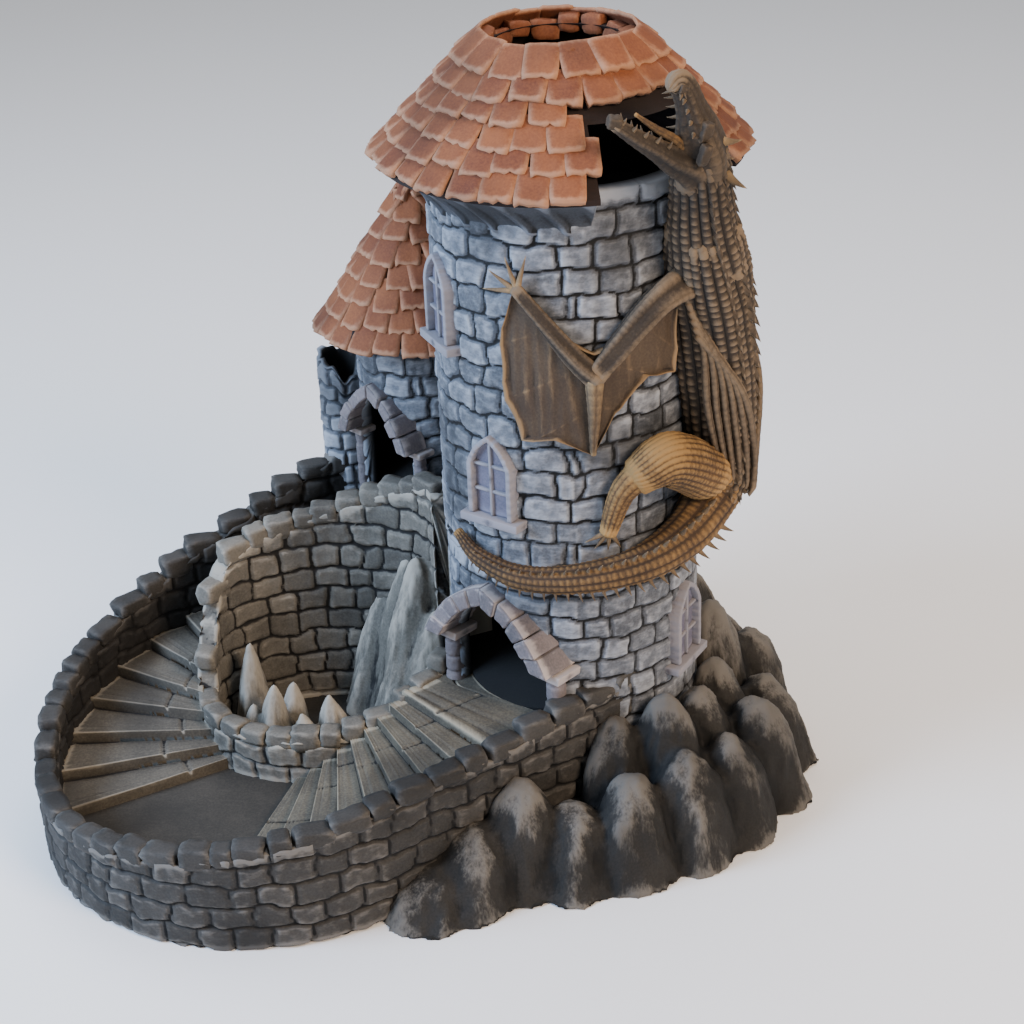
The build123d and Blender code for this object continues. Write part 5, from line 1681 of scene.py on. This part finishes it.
crest = []
for angle in (-0.55, 0.0, 0.55):
    crest += along_limb(torso_chain, 4.6, angle, 0.84, 0.24, 0.62, -1.0, 0.05, 0.92)
    crest += along_limb(neck_chain, 4.2, angle, 0.84, 0.26, 0.6, -1.0, 0.1, 0.95)
spikes_on("dragon_crest_plates", crest, plate_kit, neck_paint, 31)
tail_spines = along_limb(tail_chain, 3.0, 0.9, 0.8, 0.75, 0.3, 1.0, 0.1, 0.85)
tail_spines += along_limb(tail_chain, 3.0, -0.9, 0.8, 0.75, 0.3, 1.0, 0.1, 0.85)
spikes_on("dragon_tail_spines", tail_spines, spike_kit, claw_paint, 32)


def claws(chain, count, length, spread):
    """Places for the claws at the end of a limb, fanned against the tower."""
    p, thick, out, side, ahead = limb_frames(limb_line(chain))[-1]
    places = []
    for i in range(count):
        fan = spread * (i / (count - 1) - 0.5)
        way = (ahead * cos(fan) + side * sin(fan)).normalized()
        places.append((tuple(p + side * sin(fan) * 1.4), turn_to(way, -out), (1.9, 1.9, length)))
    return places


claw_places = []
for turn in (lambda chain: chain, mirrored):
    claw_places += claws(turn(near_forearm_chain), 4, 9.0, 1.9) + claws(turn(near_shin_chain), 4, 6.5, 1.6)
spikes_on("dragon_claws", claw_places, spike_kit, claw_paint, 33)


# ---- dragon's wings: skin between the arm, the long finger and the body --------------------------
# Each half is one thin stretched sheet, pulled into folds that run from the elbow.

wing_out = upper_radius + 1.9
wing_skin = 1.7


def resampled(corners, count):
    """Evenly spaced (bearing, height) points along a line through corners."""
    run = [0.0]
    for a, b in zip(corners, corners[1:]):
        run.append(run[-1] + hypot((b[0] - a[0]) * 0.68, b[1] - a[1]))
    shares = np.linspace(0, run[-1], count)
    return [(float(np.interp(s, run, [c[0] for c in corners])),
             float(np.interp(s, run, [c[1] for c in corners])))
            for s in shares]


def wing_half(name, bone, edge, side):
    """A sheet from a bone line to its free edge, with folds and a thickened rim."""
    count, across = 110, 44
    bone, edge = resampled(bone, count), resampled(edge, count)
    front, back = [], []
    for k, (a, b) in enumerate(zip(bone, edge)):
        line = []
        for j in range(across):
            t = j / (across - 1)
            scallop = 0.04 * abs(sin(pi * k / 27)) * t
            u = t * (1 - scallop)
            bearing = a[0] + (b[0] - a[0]) * u
            height = a[1] + (b[1] - a[1]) * u
            fold = 0.35 * (abs(sin(pi * k / 27)) ** 0.5 - 1.0) * -t
            fold += 0.45 * noise.noise(Vector((bearing * 0.3, height * 0.08, 2)))
            rim = 1.3 * max(0.0, (t - 0.92) / 0.08)
            line.append((bearing, height, fold + rim))
        front.append([(*at(main_axis, wing_out + wing_skin / 2 + lift, side(bearing)), height)
                      for bearing, height, lift in line])
        back.append([(*at(main_axis, wing_out - wing_skin / 2, side(bearing)), height)
                     for bearing, height, _ in line])
    half = shell_between(name, front, back)
    merge_close(half)
    recalculate(half)
    run_tree(half, masks, {"Paint": wing_paint, "Fine passes": 4, "Broad passes": 20, "Gain": 1.6})
    return half


outer_bone = [(7, 129), (8, 153), (-21, 178)]
outer_edge = [(7, 129), (-8, 134), (-21, 133), (-28, 150), (-27, 166), (-21, 178)]
inner_bone = [(7, 129), (8, 153), (32, 171), (44, 170)]
inner_edge = [(7, 129), (16, 141), (30, 150), (44, 148), (44, 170)]
web_bone = [(-21, 178), (8, 153), (46, 175)]
web_edge = [(-21, 178), (-8, 166), (8, 159), (24, 163), (36, 172), (46, 175)]
for side_name, side in (("near", lambda bearing: bearing), ("far", lambda bearing: 130.0 - bearing)):
    outer = wing_half(f"dragon_wing_outer_{side_name}", outer_bone, outer_edge, side)
    fasten(outer, "tower_upper", "dragon_hide", f"dragon_wing_{side_name}")
    inner = wing_half(f"dragon_wing_inner_{side_name}", inner_bone, inner_edge, side)
    fasten(inner, "tower_upper", "dragon_hide")
    web = wing_half(f"dragon_wing_web_{side_name}", web_bone, web_edge, side)
    fasten(web, "tower_upper", "dragon_hide")
    finger = scaly_limb(f"dragon_finger_{side_name}", [(side(8), 42.8, 154, 3.0), (side(7.6), 42.8, 141, 1.9),
                                                       (side(7), 42.2, 129, 0.9)], claw_paint, 5, 3.0,
                                                       0.25, 40)
    fasten(finger, "tower_upper", "dragon_hide")


# ---- dragon's head: jaws open, snout up ----------------------------------------------------------
# The long snout stands almost upright and ends in a hooked nose; the lower jaw reaches out to the
# left.  Short teeth line both, horns sweep back from the jaw's corner, and a thin tapering tongue reaches out
# along the jaw.

skull_chain = [(42, 52.0, 206, 7.6), (40.5, 53.5, 213, 8.2), (38, 54.5, 220, 6.6), (35, 55.3, 227, 4.2),
               (32.5, 55.6, 232.5, 3.5), (29.8, 55.8, 235, 3.1), (27.6, 56.0, 233.4, 1.6)]
jaw_chain = [(40, 53.5, 208, 6.0), (36, 54.5, 211, 5.0), (30, 54.5, 214, 3.6), (25, 54.5, 217.5, 2.9),
             (18, 54.2, 222, 2.2), (12.5, 54.0, 226, 1.8)]
skull = scaly_limb("dragon_skull_hide", skull_chain, neck_paint, 12, 2.4, 0.3, 100, 0.9, 0.5, tendon=0.09)
fasten(skull, "tower_upper", "dragon_hide", "dragon_skull")
jaw = scaly_limb("dragon_jaw_hide", jaw_chain, neck_paint, 8, 2.4, 0.25, 72, 0.85, 0.5, tendon=0.1)
fasten(jaw, "tower_upper", "dragon_hide", "dragon_jaw")


def head_point(bearing, out, height):
    return Vector((*at(main_axis, out, bearing), height))


features = []
for (bearing, out, height), size in (((36.2, 59.6, 221.5), (3.0, 2.6, 5.2)),
                                     ((30.5, 57.6, 233.4), (2.4, 2.4, 2.6)),
                                     ((35.0, 60.6, 216.0), (2.6, 2.4, 5.4)),
                                     ((12.4, 54.2, 226.4), (3.4, 3.2, 3.0))):
    features.append((tuple(head_point(bearing, out, height)), (0.3, 0.2, radians(bearing)), size))
brows = stones_on("dragon_brow_and_nostril", features, neck_paint, 41)
fasten(brows, "tower_upper", "dragon_hide")

teeth = []
for chain, angle_side, count, length in ((skull_chain, -1, 6, 3.0), (jaw_chain, 1, 5, 2.4)):
    frames = limb_frames(limb_line(chain, 0.5))
    for i in range(count):
        k = int(len(frames) * (0.52 + 0.42 * i / (count - 1)))
        p, thick, out, side, ahead = frames[k]
        for tilt in (-0.7, 0.7):
            mouth = side * angle_side * cos(tilt) + out * sin(tilt)
            teeth.append((tuple(p + mouth * thick * 0.8), turn_to(mouth, ahead), (1.3, 1.3, length)))
spikes_on("dragon_teeth", teeth, spike_kit, claw_paint, 34)

horns = []
for bearing, out, height, way, length in ((45, 58, 208, (10, -4, -9), 7.0), (46, 53, 212, (9, 4, -6), 7.0),
                                          (43.5, 57, 217, (10, 0, -3), 6.0)):
    horns.append((tuple(head_point(bearing, out, height)), turn_to(Vector(way), Vector((0, 0, 1))),
                  (3.4, 3.4, length)))
spikes_on("dragon_horns", horns, spike_kit, claw_paint, 35)
tongue_chain = [(37, 54.5, 213, 1.8), (30, 54.8, 219.5, 1.4), (24, 55.0, 223.5, 1.0), (18, 55.0, 228, 0.5)]
tongue = scaly_limb("dragon_tongue", tongue_chain, hide_paint, 5, 3.0, 0.15, 36)
fasten(tongue, "tower_upper", "dragon_hide")
